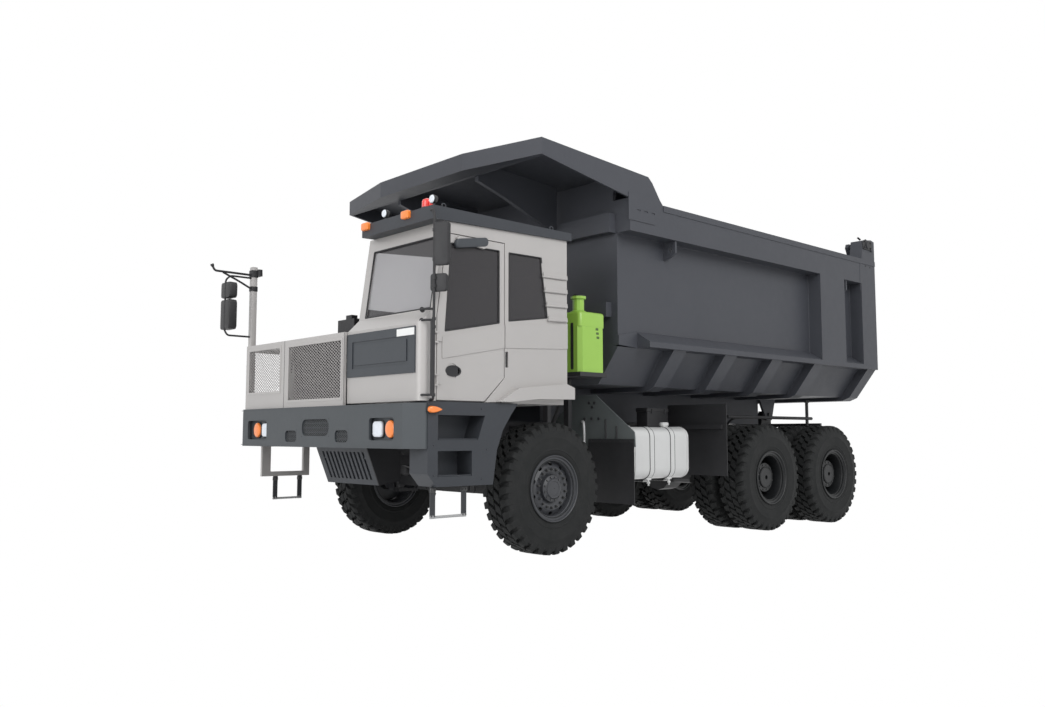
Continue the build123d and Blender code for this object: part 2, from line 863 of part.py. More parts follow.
# Cab shell: the floor with its feet on the rails, the right side and the rear wall
with BuildPart() as cab_shell:
    side_plate(
        (
            (cab_rear_x, cab_low_z),
            (corner_x - 1, cab_low_z),
            (corner_x - 1, cowl_high_z - 40),
            (screen_low_x - pillar + door_seam - 1, cowl_high_z),
            (screen_x(header_z) - pillar + door_seam - 1, header_z),
            (cab_rear_x, header_z),
        ),
        cab_right_y,
        cab_right_y + cab_wall,
    )
    side_plate(right_window, cab_right_y - 1, cab_right_y + cab_wall + 1, Mode.SUBTRACT)
    block(
        cab_rear_x,
        cab_rear_x + cab_wall,
        cab_right_y + cab_wall,
        cab_left_y - cab_wall,
        cab_low_z + cab_wall,
        header_z,
    )
    block(cab_rear_x - 1, cab_rear_x + cab_wall + 1, 800, 1550, 2700, 3250, Mode.SUBTRACT)
    for x0, x1, y1 in (
        (cab_rear_x, door_rear_x - door_seam, cab_left_y - cab_wall),
        (door_rear_x - door_seam, cab_front_x - cab_wall, cab_left_y - cab_wall - door_seam),
    ):
        block(x0, x1, cab_right_y + cab_wall, y1, cab_low_z, cab_low_z + cab_wall)
    for x in (2500, 4000):
        block(x - 50, x + 50, rail_outer_y, cab_right_y + cab_wall, rail_high_z - 60, rail_high_z)
        block(
            x - 50, x + 50, cab_right_y + cab_wall, cab_right_y + 2 * cab_wall, rail_high_z - 60, cab_low_z
        )
save(cab_shell, "cab_shell")

with BuildPart() as cab_roof:
    side_plate(
        (
            (cab_rear_x, header_z),
            (screen_x(header_z), header_z),
            (screen_x(cab_top_z), cab_top_z),
            (cab_rear_x, roof_z(cab_rear_x)),
        ),
        cab_right_y,
        cab_left_y,
    )
save(cab_roof, "cab_roof")

# Roof plate: a thick rock guard over the cab, with its lamps and lifting eyes
roof_plate_y = (cab_right_y + 80, cab_left_y + 30)
with BuildPart() as roof_plate:
    side_plate(
        (
            (roof_rear_x, roof_z(roof_rear_x)),
            (roof_front_x, roof_front_z),
            (roof_front_x, roof_plate_top_z),
            (roof_rear_x, roof_plate_top_z),
        ),
        roof_plate_y[0],
        roof_plate_y[1],
    )
    for x in (2570, 4117):
        y = roof_plate_y[1] - 40
        bar_y(x, roof_plate_top_z + 20, 30, y - 6, y + 6)
        bar_y(x, roof_plate_top_z + 20, 18, y - 7, y + 7, Mode.SUBTRACT, flats=0)
save(roof_plate, "roof_plate")

with BuildPart() as roof_lamps:
    for y in (980, 1830):
        block(roof_front_x - 60, roof_front_x - 30, y - 10, y + 10, roof_plate_top_z, roof_plate_top_z + 30)
        bar_x(y, roof_plate_top_z + 70, 42, roof_front_x - 80, roof_front_x - 10)
    for y in (674, 1427):
        block(roof_front_x, roof_front_x + 40, y - 60, y + 60, 3610, 3660)
    bar_z(roof_front_x - 90, 1660, 62, roof_plate_top_z, roof_plate_top_z + 115)
save(roof_lamps, "roof_lamps")

# Dark front plate with a sunk inner frame
with BuildPart() as front_plate:
    block(cab_front_x, cab_front_x + 18, 520, 1757, 1970, 2440)
    block(cab_front_x + 8, cab_front_x + 19, 620, 1657, 2060, 2350, Mode.SUBTRACT)
    block(cab_front_x + 8, cab_front_x + 18, 660, 1617, 2095, 2315)
save(front_plate, "cab_front_plate")

# Fixed glass: windscreen, left rear window, right window and back window
with BuildPart() as cab_glass:
    side_plate(
        (
            (screen_x(cowl_high_z + 20) - 20, cowl_high_z + 20),
            (screen_x(door_top_z - 30) - 20, door_top_z - 30),
            (screen_x(door_top_z - 30) - 20 - glass_thick, door_top_z - 30),
            (screen_x(cowl_high_z + 20) - 20 - glass_thick, cowl_high_z + 20),
        ),
        screen_y[0],
        screen_y[1],
    )
    side_plate(rear_window, cab_left_y - 20, cab_left_y - 20 + glass_thick)
    side_plate(right_window, cab_right_y + 20, cab_right_y + 20 + glass_thick)
    block(cab_rear_x + 20, cab_rear_x + 20 + glass_thick, 800, 1550, 2700, 3250)
save(cab_glass, "cab_glass")

# Driver's door, hung at its front edge, with its window
door_points = (
    (door_front_x, cab_low_z + 10),
    (door_front_x, cowl_high_z - 40),
    (screen_low_x - pillar, cowl_high_z),
    (screen_x(door_top_z) - pillar, door_top_z),
    (door_rear_x, door_top_z),
    (door_rear_x, door_corner_z),
    (door_toe_x, cab_low_z + 10),
)
door_window = ((4025, 3316), (door_rear_x + 73, 3322), (door_rear_x + 71, 2542), (4095, 2401))
with BuildPart() as door:
    side_plate(door_points, cab_left_y - cab_wall, cab_left_y)
    side_plate(door_window, cab_left_y - cab_wall - 1, cab_left_y + 1, Mode.SUBTRACT)
    bar_y(4000, 1999, 80, cab_left_y - 8, cab_left_y + 1, Mode.SUBTRACT)
    side_plate(
        (
            (door_rear_x, belt_low_z),
            (door_rear_x, belt_high_z),
            (door_front_x - 60, belt_high_z - 185),
            (door_front_x - 60, belt_low_z - 160),
        ),
        cab_left_y,
        cab_left_y + belt_proud,
    )
    side_plate(
        ((3970, 3372), (3935, 3400), (3600, 3372), (3560, 3340), (3595, 3308), (3930, 3336)),
        cab_left_y,
        cab_left_y + 32,
    )
    for z in door_hinge_zs:
        bar_z(hinge_line_x, hinge_y, hinge_barrel_r, z - 40, z + 40, flats=0)
        block(door_front_x - 50, hinge_line_x - 4, cab_left_y, hinge_y + 2, z - 40, z + 40)
        bar_z(hinge_line_x, hinge_y, hinge_barrel_r - 4, z - 41, z + 41, Mode.SUBTRACT, flats=0)
save(door, "driver_door")

with BuildPart() as door_glass:
    side_plate(door_window, cab_left_y - 20, cab_left_y - 20 + glass_thick)
save(door_glass, "driver_door_glass")

# Driver's seat, and the dashboard with the steering wheel
seat_x = 3150
seat_y = 1250
with BuildPart() as seat:
    block(seat_x - 150, seat_x + 150, seat_y - 150, seat_y + 150, cab_low_z + cab_wall, 2150)
    block(seat_x - 250, seat_x + 250, seat_y - 250, seat_y + 250, 2150, 2290)
    side_plate(
        ((seat_x - 250, 2290), (seat_x - 110, 2290), (seat_x - 210, 3060), (seat_x - 320, 3060)),
        seat_y - 230,
        seat_y + 230,
    )
save(seat, "driver_seat")

with BuildPart() as dash:
    side_plate(
        ((4290, 1990), (4310, 2400), (4130, 2500), (3950, 2460), (3930, 2330), (4050, 1990)),
        cab_right_y + cab_wall + 5,
        cab_left_y - cab_wall - 8,
    )
    block(4130, cab_front_x - cab_wall, 900, 1000, 2050, 2250)
    column = Plane(origin=(3900, seat_y, 2600), x_dir=(0, 1, 0), z_dir=(-0.5, 0, 0.866))
    with BuildSketch(column):
        RegularPolygon(30, 8)
    extrude(amount=-190)
    with BuildSketch(column):
        RegularPolygon(240, 16)
        RegularPolygon(210, 16, mode=Mode.SUBTRACT)
        Rectangle(425, 40)
        RegularPolygon(50, 8)
    extrude(amount=25)
save(dash, "dashboard")

# Left mirrors on a mast at the cab's front corner
mast_x = 4300
mast_y = 1930
with BuildPart() as left_mirrors:
    bar_z(mast_x, mast_y, 14, 1730, 3560)
    for z in (1745, 2420, 2500):
        block(mast_x - 14, mast_x + 10, cab_left_y, mast_y, z - 12, z + 12)
    block(roof_front_x, mast_x + 10, cab_left_y - 20, mast_y, 3540, 3560)
    for z0, z1, reach in ((3040, 3455, 130), (2780, 2950, 90)):
        flat_plate(
            (
                (mast_x + 45, mast_y - 60),
                (mast_x - 0.55 * reach, mast_y + reach),
                (mast_x - 0.55 * reach - 45, mast_y + reach - 25),
                (mast_x, mast_y - 80),
            ),
            z0,
            z1,
        )
save(left_mirrors, "left_mirrors")

# Right mirrors: a square post on the deck's front corner, with tubes that reach forward
post_y = -1785
tip_x = 4950
mirror_x = 4760
mirror_half = 125
arm_z = 3400
with BuildPart() as right_mirrors:
    block(deck_front_x - 90, deck_front_x, post_y - 45, post_y + 45, deck_top_z, arm_z + 100)
    block(deck_front_x - 140, deck_front_x - 90, post_y - 45, post_y + 60, arm_z - 100, arm_z + 80)
    bar_x(post_y, arm_z, 14, deck_front_x, tip_x - 20)
    block(tip_x - 40, tip_x, post_y - 20, post_y + 20, arm_z, arm_z + 80)
    side_plate(
        (
            (deck_front_x + 1, arm_z - 185),
            (mirror_x, arm_z - 12),
            (mirror_x, arm_z + 5),
            (deck_front_x + 1, arm_z - 155),
        ),
        post_y - 10,
        post_y + 10,
    )
    bar_z(mirror_x, post_y, 14, 2590, arm_z)
    bar_x(post_y, 2600, 14, deck_front_x, mirror_x)
    for z0, z1 in ((3070, 3270), (2670, 3050)):
        block(mirror_x - 60, mirror_x + 10, post_y - mirror_half, post_y + mirror_half, z0, z1)
save(right_mirrors, "right_mirrors")

# Fuel tank with bevelled edges, its cap, straps and brackets
tank_x = (-10, 1160)
tank_y = (1080, 1800)
tank_z = (800, 1450)
with BuildPart() as fuel_tank:
    block(tank_x[0], tank_x[1], tank_y[0], tank_y[1], tank_z[0], tank_z[1])
    chamfer(fuel_tank.edges().filter_by(Axis.X), 90)
    chamfer(fuel_tank.faces().filter_by(Axis.X).edges(), 40)
    bar_z(300, 1620, 55, tank_z[1] - 10, tank_z[1] + 60)
    for x in (770, 360):
        cross_plate(
            (
                (tank_y[0] - 14, tank_z[0] - 14),
                (tank_y[1] - 87, tank_z[0] - 14),
                (tank_y[1] + 14, tank_z[0] + 87),
                (tank_y[1] + 14, tank_z[1] - 87),
                (tank_y[1] - 87, tank_z[1] + 14),
                (tank_y[0] - 14, tank_z[1] + 14),
            ),
            x - 30,
            x + 30,
        )
        block(x - 30, x + 30, rail_outer_y, tank_y[0] - 14, 1200, 1300)
save(fuel_tank, "fuel_tank")

# Hydraulic oil tank on its bracket behind the cab
with BuildPart() as oil_tank:
    block(1570, 2010, 1150, 1750, tank_floor_z, 2710)
    chamfer(oil_tank.edges().filter_by(Axis.Z), 45)
    chamfer(oil_tank.faces().sort_by(Axis.Z)[-1].edges(), 35)
    bar_z(1900, 1620, 70, 2700, 2970)
    bar_z(1900, 1620, 95, 2970, 3000)
save(oil_tank, "hydraulic_tank")

# Front mudguards: a chamfered plate with a rubber flap, carried from the rails
guard_x = 1190
guard_points = ((rail_outer_y, 1205), (rail_outer_y, 1500), (900, 1860), (1244, 1860), (1881, 1384), (1894, 1205))
with BuildPart() as mudguards:
    for side in (1, -1):
        outline = [(side * y, z) for y, z in guard_points]
        cross_plate(outline, guard_x, guard_x + 14)
save(mudguards, "front_mudguards")

flap_x = -625
with BuildPart() as flaps:
    for side in (1, -1):
        y0, y1 = sorted((side * 1130, side * 1880))
        block(guard_x + 14, guard_x + 26, y0, y1, 510, 1300)

    for side in (1, -1):
        y0, y1 = sorted((side * (inner_dual_y - 265), side * (bed_half_y - 26)))
        block(flap_x - 6, flap_x + 6, y0, y1, 800, 1770)
        y0, y1 = sorted((side * rail_outer_y, side * (bed_half_y - 76)))
        block(flap_x + 6, flap_x + 56, y0, y1, 1430, 1490)
save(flaps, "mudflaps")

# Rear lamp bar across the frame's tail
with BuildPart() as lamp_bar:
    block(rail_rear_x - 40, rail_rear_x, -1400, 1400, 1540 - 60, 1540)
    for side in (1, -1):
        y0, y1 = sorted((side * 1180, side * 1380))
        block(rail_rear_x - 80, rail_rear_x - 40, y0, y1, 1440, 1540)
save(lamp_bar, "rear_lamp_bar")

# Bed floor: a flat-bottomed tub with four wrap-around ribs and the long bearers under it
tub_low_z = floor_low_z + rib_proud
rib_centres = (330, -790, -1950, -3120)
rib_width = 270
bearer_low_z = rail_high_z + 8
with BuildPart() as bed_floor:
    cross_plate(
        (
            (panel_y, knee_z),
            (floor_half_y - 30, tub_low_z),
            (-floor_half_y + 30, tub_low_z),
            (-panel_y, knee_z),
            (-panel_y + wall, knee_z + 20),
            (-floor_half_y + 50, tub_low_z + wall),
            (floor_half_y - 50, tub_low_z + wall),
            (panel_y - wall, knee_z + 20),
        ),
        bed_tail_x,
        bed_front_x,
    )
    for x in (*rib_centres, bed_tail_x + rib_width / 2):
        cross_plate(
            (
                (bed_half_y - 45, knee_z),
                (floor_half_y + 130, floor_low_z + 50),
                (floor_half_y, floor_low_z),
                (-floor_half_y, floor_low_z),
                (-floor_half_y - 130, floor_low_z + 50),
                (-bed_half_y + 45, knee_z),
                (-panel_y, knee_z),
                (-floor_half_y + 30, tub_low_z),
                (floor_half_y - 30, tub_low_z),
                (panel_y, knee_z),
            ),
            x - rib_width / 2,
            x + rib_width / 2,
        )
    for side in (1, -1):
        y0, y1 = sorted((side * rail_inner_y, side * rail_outer_y))
        block(hinge_x + 260, bed_front_x, y0, y1, bearer_low_z, tub_low_z)
        y0, y1 = sorted((side * (rail_outer_y + 10), side * (rail_outer_y + 50)))
        side_plate(
            (
                (hinge_x - 80, hinge_z - 80),
                (hinge_x + 80, hinge_z - 80),
                (hinge_x + 300, tub_low_z),
                (hinge_x - 200, tub_low_z),
            ),
            y0,
            y1,
        )
        bar_y(hinge_x, hinge_z, hinge_pin_r, y0 - 1, y1 + 1, Mode.SUBTRACT, flats=0)
save(bed_floor, "bed_floor")

lug_xs = (430, -4000)
lug_half = 16
lug_y = 1880
lug_z = 3730
lug_hole_r = 32

# Bed sides: recessed panel between the top rail, the lower rail and the rear posts
lip = 8
for name, side in (("left", 1), ("right", -1)):
    with BuildPart() as bed_side:
        y0, y1 = sorted((side * (panel_y - wall), side * panel_y))
        block(bed_tail_x, bed_front_x, y0, y1, knee_z + 20, bed_top_z)
        y0, y1 = sorted((side * panel_y, side * bed_half_y))
        block(bed_tail_x, bed_front_x, y0, y1, rail_foot_z, bed_top_z)
        lip_y0, lip_y1 = sorted((side * bed_half_y, side * (bed_half_y + lip)))
        block(bed_tail_x, canopy_foot_x - 20, lip_y0, lip_y1, bed_top_z - 80, bed_top_z)
        cross_plate(
            [
                (side * y, z)
                for y, z in (
                    (panel_y, knee_z),
                    (bed_half_y, knee_z),
                    (bed_half_y, lower_rail_face_z),
                    (panel_y, lower_rail_top_z),
                )
            ],
            bed_tail_x,
            bed_front_x - 350,
        )
        for x0, x1 in ((-3900, -3150), (bed_tail_x, -4470)):
            block(x0, x1, y0, y1, lower_rail_face_z, rail_foot_z)
        side_plate(
            (
                (bed_tail_x, bed_top_z),
                (bed_tail_x, ear_top_z - 20),
                (bed_tail_x + 110, ear_top_z),
                (bed_tail_x + 380, ear_top_z - 40),
                (bed_tail_x + 450, bed_top_z),
            ),
            y0,
            y1,
        )
        side_plate(
            (
                (bed_front_x - 350, knee_z),
                (bed_front_x - 350, lower_rail_top_z),
                (bed_front_x, lower_rail_top_z - 60),
                (bed_front_x, knee_z + 20),
            ),
            *sorted((side * panel_y, side * (panel_y + 16))),
        )
        for x, z, half in ((gate_pin_x, gate_pin_z, 60), (gate_pin_x - 150, gate_pin_z - 60, 34)):
            y0, y1 = sorted((side * bed_half_y, side * (bed_half_y + 24)))
            bar_y(x, z, half, y0, y1, flats=8)
        pin_y0, pin_y1 = side * (panel_y - wall - 90), side * panel_y
        bar_y(gate_pin_x, gate_pin_z, 35, pin_y0, pin_y1, flats=0)
        for x in lug_xs:
            cross_plate(
                [
                    (side * y, z)
                    for y, z in (
                        (panel_y, rail_foot_z),
                        (bed_half_y - 20, rail_foot_z),
                        (bed_half_y - 20, lug_z - 50),
                        (bed_half_y - 80, lug_z - 90),
                        (panel_y, lug_z - 130),
                    )
                ],
                x - lug_half,
                x + lug_half,
            )
            bar_x(
                side * lug_y, lug_z, lug_hole_r, x - lug_half - 1, x + lug_half + 1, Mode.SUBTRACT, flats=0
            )
    save(bed_side, f"bed_{name}_side")

def canopy_z(x):
    """Top of the canopy plate at a place."""
    return canopy_front_z + (x - canopy_nose_x) * canopy_slope


# Bed front wall with its two cross beams and the hoist's bracket
wall_top_z = canopy_z(bed_front_x - wall) - canopy_plate
with BuildPart() as bed_front:
    cross_plate(
        (
            (panel_y - wall, wall_top_z),
            (panel_y - wall, knee_z + 20),
            (floor_half_y - 50, tub_low_z + wall),
            (-floor_half_y + 50, tub_low_z + wall),
            (-panel_y + wall, knee_z + 20),
            (-panel_y + wall, wall_top_z),
        ),
        bed_front_x - wall,
        bed_front_x,
    )
    block(bed_front_x, bed_front_x + beam_depth, -panel_y + 20, panel_y - 20, rail_foot_z, 4080)
    block(bed_front_x, bed_front_x + 100, -panel_y + 100, panel_y - 100, 2800, 2980)
    for side in (1, -1):
        y0, y1 = sorted((side * 120, side * 160))
        side_plate(
            (
                (bed_front_x, 2400),
                (bed_front_x, 3100),
                (hoist_x + 60, hoist_high_z + 60),
                (hoist_x + 60, hoist_high_z - 60),
                (hoist_x - 60, hoist_high_z - 60),
            ),
            y0,
            y1,
        )
        bar_y(hoist_x, hoist_high_z, 46, y0 - 1, y1 + 1, Mode.SUBTRACT, flats=0)
save(bed_front, "bed_front_wall")

# Canopy over the cab: a tapered top plate, its fascia, side plates that lap the rails and ribs underneath
lap_low_z = 3970
with BuildPart() as canopy:
    side_plate(
        (
            (canopy_foot_x, bed_top_z),
            (918, 4505),
            (canopy_rear_x, canopy_z(canopy_rear_x)),
            (canopy_nose_x, canopy_front_z),
            (canopy_nose_x, canopy_front_z - fascia_drop),
            (canopy_corner_x, canopy_front_z - fascia_drop),
            (bed_front_x + 30, bed_top_z),
        ),
        -bed_half_y,
        bed_half_y,
    )
    side_plate(
        (
            (canopy_rear_x - 10, canopy_z(canopy_rear_x - 10) - canopy_plate),
            (canopy_corner_x - 40, canopy_z(canopy_corner_x - 40) - canopy_plate),
            (canopy_corner_x - 40, bed_top_z - 1),
            (canopy_foot_x - 1, bed_top_z - 1),
            (canopy_foot_x - 1, 4400),
            (880, 4400),
        ),
        -bed_half_y + canopy_plate,
        bed_half_y - canopy_plate,
        Mode.SUBTRACT,
    )
    for side in (1, -1):
        flat_plate(
            (
                (canopy_nose_x + 1, side * canopy_nose_half_y),
                (canopy_corner_x, side * (bed_half_y + 1)),
                (canopy_nose_x + 1, side * (bed_half_y + 1)),
            ),
            bed_top_z,
            canopy_front_z + 1,
            Mode.SUBTRACT,
        )
        lap_y0, lap_y1 = sorted((side * bed_half_y, side * (bed_half_y + lip)))
        side_plate(
            (
                (canopy_foot_x, bed_top_z),
                (canopy_foot_x + 60, bed_top_z + 60),
                (bed_front_x + 30, bed_top_z + 60),
                (bed_front_x + 30, lap_low_z),
                (canopy_foot_x + 160, lap_low_z),
            ),
            lap_y0,
            lap_y1,
        )
        for x in (880, 1020, 1160):
            block(x, x + 70, lap_y0 - 1, lap_y1 + 1, lap_low_z + 130, lap_low_z + 150, Mode.SUBTRACT)
        y0, y1 = sorted((side * 770, side * 830))
        side_plate(
            (
                (bed_front_x + beam_depth, 4013),
                (bed_front_x + beam_depth, canopy_z(bed_front_x + beam_depth) - canopy_plate),
                (canopy_corner_x - 40, canopy_z(canopy_corner_x - 40) - canopy_plate),
                (canopy_corner_x - 40, 4414),
                (2395, 4290),
                (1742, 4052),
                (1653, 4013),
            ),
            y0,
            y1,
        )
save(canopy, "bed_canopy")

# Tailgate: a stiffened plate hung from pins between the rear ears
gate_half_y = panel_y - wall - gate_gap
gate_x = bed_tail_x + 70
with BuildPart() as tailgate:
    cross_plate(
        (
            (gate_half_y, bed_top_z - 20),
            (gate_half_y, knee_z + 30),
            (floor_half_y - 60, tub_low_z + wall + gate_gap),
            (-floor_half_y + 60, tub_low_z + wall + gate_gap),
            (-gate_half_y, knee_z + 30),
            (-gate_half_y, bed_top_z - 20),
        ),
        gate_x,
        gate_x + 50,
    )
    for z in (2480, 3100, 3700, 4150):
        block(gate_x - 60, gate_x, -gate_half_y, gate_half_y, z, z + 80)
    for y in (-1500, -750, 0, 750, 1500):
        block(gate_x - 50, gate_x, y - 50, y + 50, 2480, 4230)
    for side in (1, -1):
        y0, y1 = sorted((side * (gate_half_y - 60), side * gate_half_y))
        side_plate(
            (
                (gate_x, bed_top_z - 200),
                (gate_x + 50, bed_top_z - 200),
                (gate_pin_x + 70, gate_pin_z),
                (gate_pin_x + 40, gate_pin_z + 60),
                (gate_pin_x - 60, gate_pin_z + 60),
                (gate_x, bed_top_z + 60),
            ),
            y0,
            y1,
        )
        bar_y(gate_pin_x, gate_pin_z, 35 + shaft_gap, y0 - 1, y1 + 1, Mode.SUBTRACT, flats=0)
save(tailgate, "tailgate")

# Telescopic hoist: a barrel on trunnions and three nested stages, the last with the eye pin
barrel_low_z = hoist_low_z - 60
stage_top_z = hoist_high_z - 90
radii = [barrel_r - i * stage_step for i in range(4)]
with BuildPart() as barrel:
    bar_z(hoist_x, 0, radii[0], barrel_low_z, stage_top_z - 90, flats=24)
    bar_z(hoist_x, 0, radii[1] + stage_gap, barrel_low_z + 40, stage_top_z, Mode.SUBTRACT, flats=24)
    for side in (1, -1):
        bar_y(hoist_x, hoist_low_z, 40, side * (barrel_r - 15), side * trunnion_out, flats=0)
save(barrel, "hoist_barrel")

for i in (1, 2, 3):
    with BuildPart() as stage:
        low = barrel_low_z + 40 + 5 * i
        top = stage_top_z - 90 + 30 * i
        bar_z(hoist_x, 0, radii[i], low, top, flats=24)
        if i < 3:
            bar_z(hoist_x, 0, radii[i + 1] + stage_gap, low + 4, top + 1, Mode.SUBTRACT, flats=24)
        else:
            block(hoist_x - 45, hoist_x + 45, -45, 45, top, hoist_high_z)
            bar_y(hoist_x, hoist_high_z, 70, -60, 60)
            bar_y(hoist_x, hoist_high_z, 42, -115, 115, flats=0)
    save(stage, f"hoist_stage_{i}")
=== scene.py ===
import math

import bmesh
import bpy
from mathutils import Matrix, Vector


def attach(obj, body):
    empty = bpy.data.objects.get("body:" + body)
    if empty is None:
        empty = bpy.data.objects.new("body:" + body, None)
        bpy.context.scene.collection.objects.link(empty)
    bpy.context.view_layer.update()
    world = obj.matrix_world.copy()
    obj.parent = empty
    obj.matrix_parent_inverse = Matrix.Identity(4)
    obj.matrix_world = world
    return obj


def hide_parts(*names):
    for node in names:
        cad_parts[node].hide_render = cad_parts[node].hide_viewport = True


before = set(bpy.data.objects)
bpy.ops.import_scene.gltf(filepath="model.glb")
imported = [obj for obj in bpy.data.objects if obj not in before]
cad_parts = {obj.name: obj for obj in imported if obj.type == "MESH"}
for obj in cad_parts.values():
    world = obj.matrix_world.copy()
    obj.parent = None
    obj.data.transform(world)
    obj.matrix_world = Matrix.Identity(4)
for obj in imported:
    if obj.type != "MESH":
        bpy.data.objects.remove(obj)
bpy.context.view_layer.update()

# The studio: a pale floor that runs off to white, one large soft key light high on the
# truck's front left and a weaker fill, with the camera low and close, as such machines
# are photographed for a catalogue.
class Value:
    """One number in a shader, written as an expression: each operator adds its Math node."""

    def __init__(self, finish, socket):
        self.finish = finish
        self.socket = socket

    def math(self, operation, *numbers):
        return self.finish.node("Math", {"operation": operation}, dict(enumerate(numbers)))

    def __add__(self, other):
        return self.math("ADD", self, other)

    __radd__ = __add__

    def __sub__(self, other):
        return self.math("SUBTRACT", self, other)

    def __rsub__(self, other):
        return self.math("SUBTRACT", other, self)

    def __mul__(self, other):
        return self.math("MULTIPLY", self, other)

    __rmul__ = __mul__

    def __truediv__(self, other):
        return self.math("DIVIDE", self, other)

    def clamped(self):
        return self.math("MAXIMUM", self.math("MINIMUM", self, 1.0), 0.0)

    def above(self, edge, soft):
        """0 below an edge and 1 above it, with a soft step between."""
        return ((self - edge) / soft + 0.5).clamped()


class Finish:
    """A finish as it is mixed: its node tree and, for a material, its Principled shader."""

    def __init__(self, owner, flat=None):
        owner.use_nodes = True
        self.owner = owner
        self.tree = owner.node_tree
        self.shader = self.tree.nodes.get("Principled BSDF")
        for socket, value in (flat or {}).items():
            self.shader.inputs[socket].default_value = value

    def node(self, kind, settings=None, values=None, out=0):
        made = self.tree.nodes.new("ShaderNode" + kind)
        for setting, choice in (settings or {}).items():
            setattr(made, setting, choice)
        for socket, value in (values or {}).items():
            if isinstance(value, Value):
                self.tree.links.new(value.socket, made.inputs[socket])
            else:
                made.inputs[socket].default_value = value
        return Value(self, made.outputs[out])

    def blend(self, factor, low, high):
        """A colour between two, by a factor."""
        pair = {0: factor}
        for socket, colour in ((6, low), (7, high)):
            pair[socket] = colour if isinstance(colour, Value) else (*colour, 1)
        return self.node("Mix", {"data_type": "RGBA"}, pair, out=2)

    def feed(self, **sockets):
        for name, value in sockets.items():
            self.tree.links.new(value.socket, self.shader.inputs[name.replace("_", " ")])

    def place(self):
        return self.node("TexCoord", out=3)

    def across(self, axis):
        """How far the point is along the truck's x, y or z."""
        return self.node("SeparateXYZ", None, {0: self.place()}, out="xyz".index(axis))

    def cloud(self, scale, detail=4.0):
        """Soft noise over the piece, by its place on the truck."""
        noise = {"Vector": self.place(), "Scale": scale, "Detail": detail, "Roughness": 0.55}
        return self.node("TexNoise", None, noise)

    def relief(self, height, depth, strength=1.0):
        self.feed(Normal=self.node("Bump", None, {"Strength": strength, "Distance": depth, "Height": height}))


def seen_directly(finish):
    """1 for camera, mirror and see-through rays, 0 for light that bounces."""
    rays = [finish.node("LightPath", out=i) for i in (0, 3, 6)]
    return rays[0].math("MAXIMUM", rays[0], rays[0].math("MAXIMUM", rays[1], rays[2]))


world = bpy.data.worlds.new("studio_sky")
bpy.context.scene.world = world
sky = Finish(world)
soft_sky = sky.node("Background", None, {"Color": (0.93, 0.96, 1.0, 1), "Strength": 0.50})
white_sky = sky.node("Background", None, {"Color": (1, 1, 1, 1), "Strength": 1.0})
sky_mix = sky.node("MixShader", None, {0: seen_directly(sky), 1: soft_sky, 2: white_sky})
sky.tree.links.new(sky_mix.socket, sky.tree.nodes["World Output"].inputs["Surface"])

floor_paint = Finish(bpy.data.materials.new("studio_floor"))
floor_plain = floor_paint.node("BsdfDiffuse", None, {"Color": (0.80, 0.80, 0.80, 1)})
floor_white = floor_paint.node("Emission", None, {"Color": (1, 1, 1, 1), "Strength": 1.0})
floor_seen = seen_directly(floor_paint)
floor_mix = floor_paint.node("MixShader", None, {0: floor_seen, 1: floor_plain, 2: floor_white})
floor_paint.tree.links.new(floor_mix.socket, floor_paint.tree.nodes["Material Output"].inputs["Surface"])

floor_mesh = bpy.data.meshes.new("floor")
floor_reach = 150
corners = [(a * floor_reach, b * floor_reach, 0) for a, b in ((-1, -1), (1, -1), (1, 1), (-1, 1))]
floor_mesh.from_pydata(corners, [], [(0, 1, 2, 3)])
floor_mesh.materials.append(floor_paint.owner)
floor = bpy.data.objects.new("floor", floor_mesh)
bpy.context.scene.collection.objects.link(floor)

lit_spot = Vector((0, 0, 2))
for name, power, spot in (
    ("key_light", 1400, (5, 15, 11.5)),
    ("fill_light", 830, (17, 2, 5.5)),
    ("back_light", 700, (-13, -10, 11)),
):
    lamp = bpy.data.lights.new(name, "AREA")
    lamp.energy = power
    lamp.size = 9
    light = bpy.data.objects.new(name, lamp)
    light.location = spot
    light.rotation_euler = (lit_spot - Vector(spot)).to_track_quat("-Z", "Y").to_euler()
    bpy.context.scene.collection.objects.link(light)

camera_data = bpy.data.cameras.new("camera")
camera_data.lens = 31.70
camera_data.sensor_width = 36
camera = bpy.data.objects.new("camera", camera_data)
camera.location = (9.821, 9.184, 1.353)
look = Vector((-0.6771, -0.7307, 0.0879)).normalized()
camera.rotation_euler = look.to_track_quat("-Z", "Y").to_euler()
bpy.context.scene.collection.objects.link(camera)
bpy.context.scene.camera = camera
bpy.context.scene.view_settings.view_transform = "Standard"


# The tyres: bias-ply earthmover tyres of hard black rubber, moulded in one piece, with deep
# shoulder lugs that run over the edge and down the wall, and raised rings on the sidewall.
def piece(name, shape, finish, body, hides=(), sharp=32):
    """Turns a bmesh into a piece that rides on its body."""
    bmesh.ops.recalc_face_normals(shape, faces=shape.faces)
    mesh = bpy.data.meshes.new(name)
    shape.to_mesh(mesh)
    shape.free()
    for face in mesh.polygons:
        face.use_smooth = True
    mesh.set_sharp_from_angle(angle=math.radians(sharp))
    mesh.materials.append(finish.owner)
    made = bpy.data.objects.new(name, mesh)
    bpy.context.scene.collection.objects.link(made)
    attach(made, body)
    if hides:
        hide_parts(*hides)


def at_turn(middle, radius, turn, out=0.0):
    """The point at a radius and a turn about an axle, and so far out along it."""
    return (middle[0] + radius * math.sin(turn), middle[1] + out, middle[2] + radius * math.cos(turn))


def skin(shape, rings):
    """Faces from each closed ring of points to the next."""
    for low, high in zip(rings, rings[1:]):
        for i in range(len(low)):
            j = (i + 1) % len(low)
            shape.faces.new((low[i], low[j], high[j], high[i]))


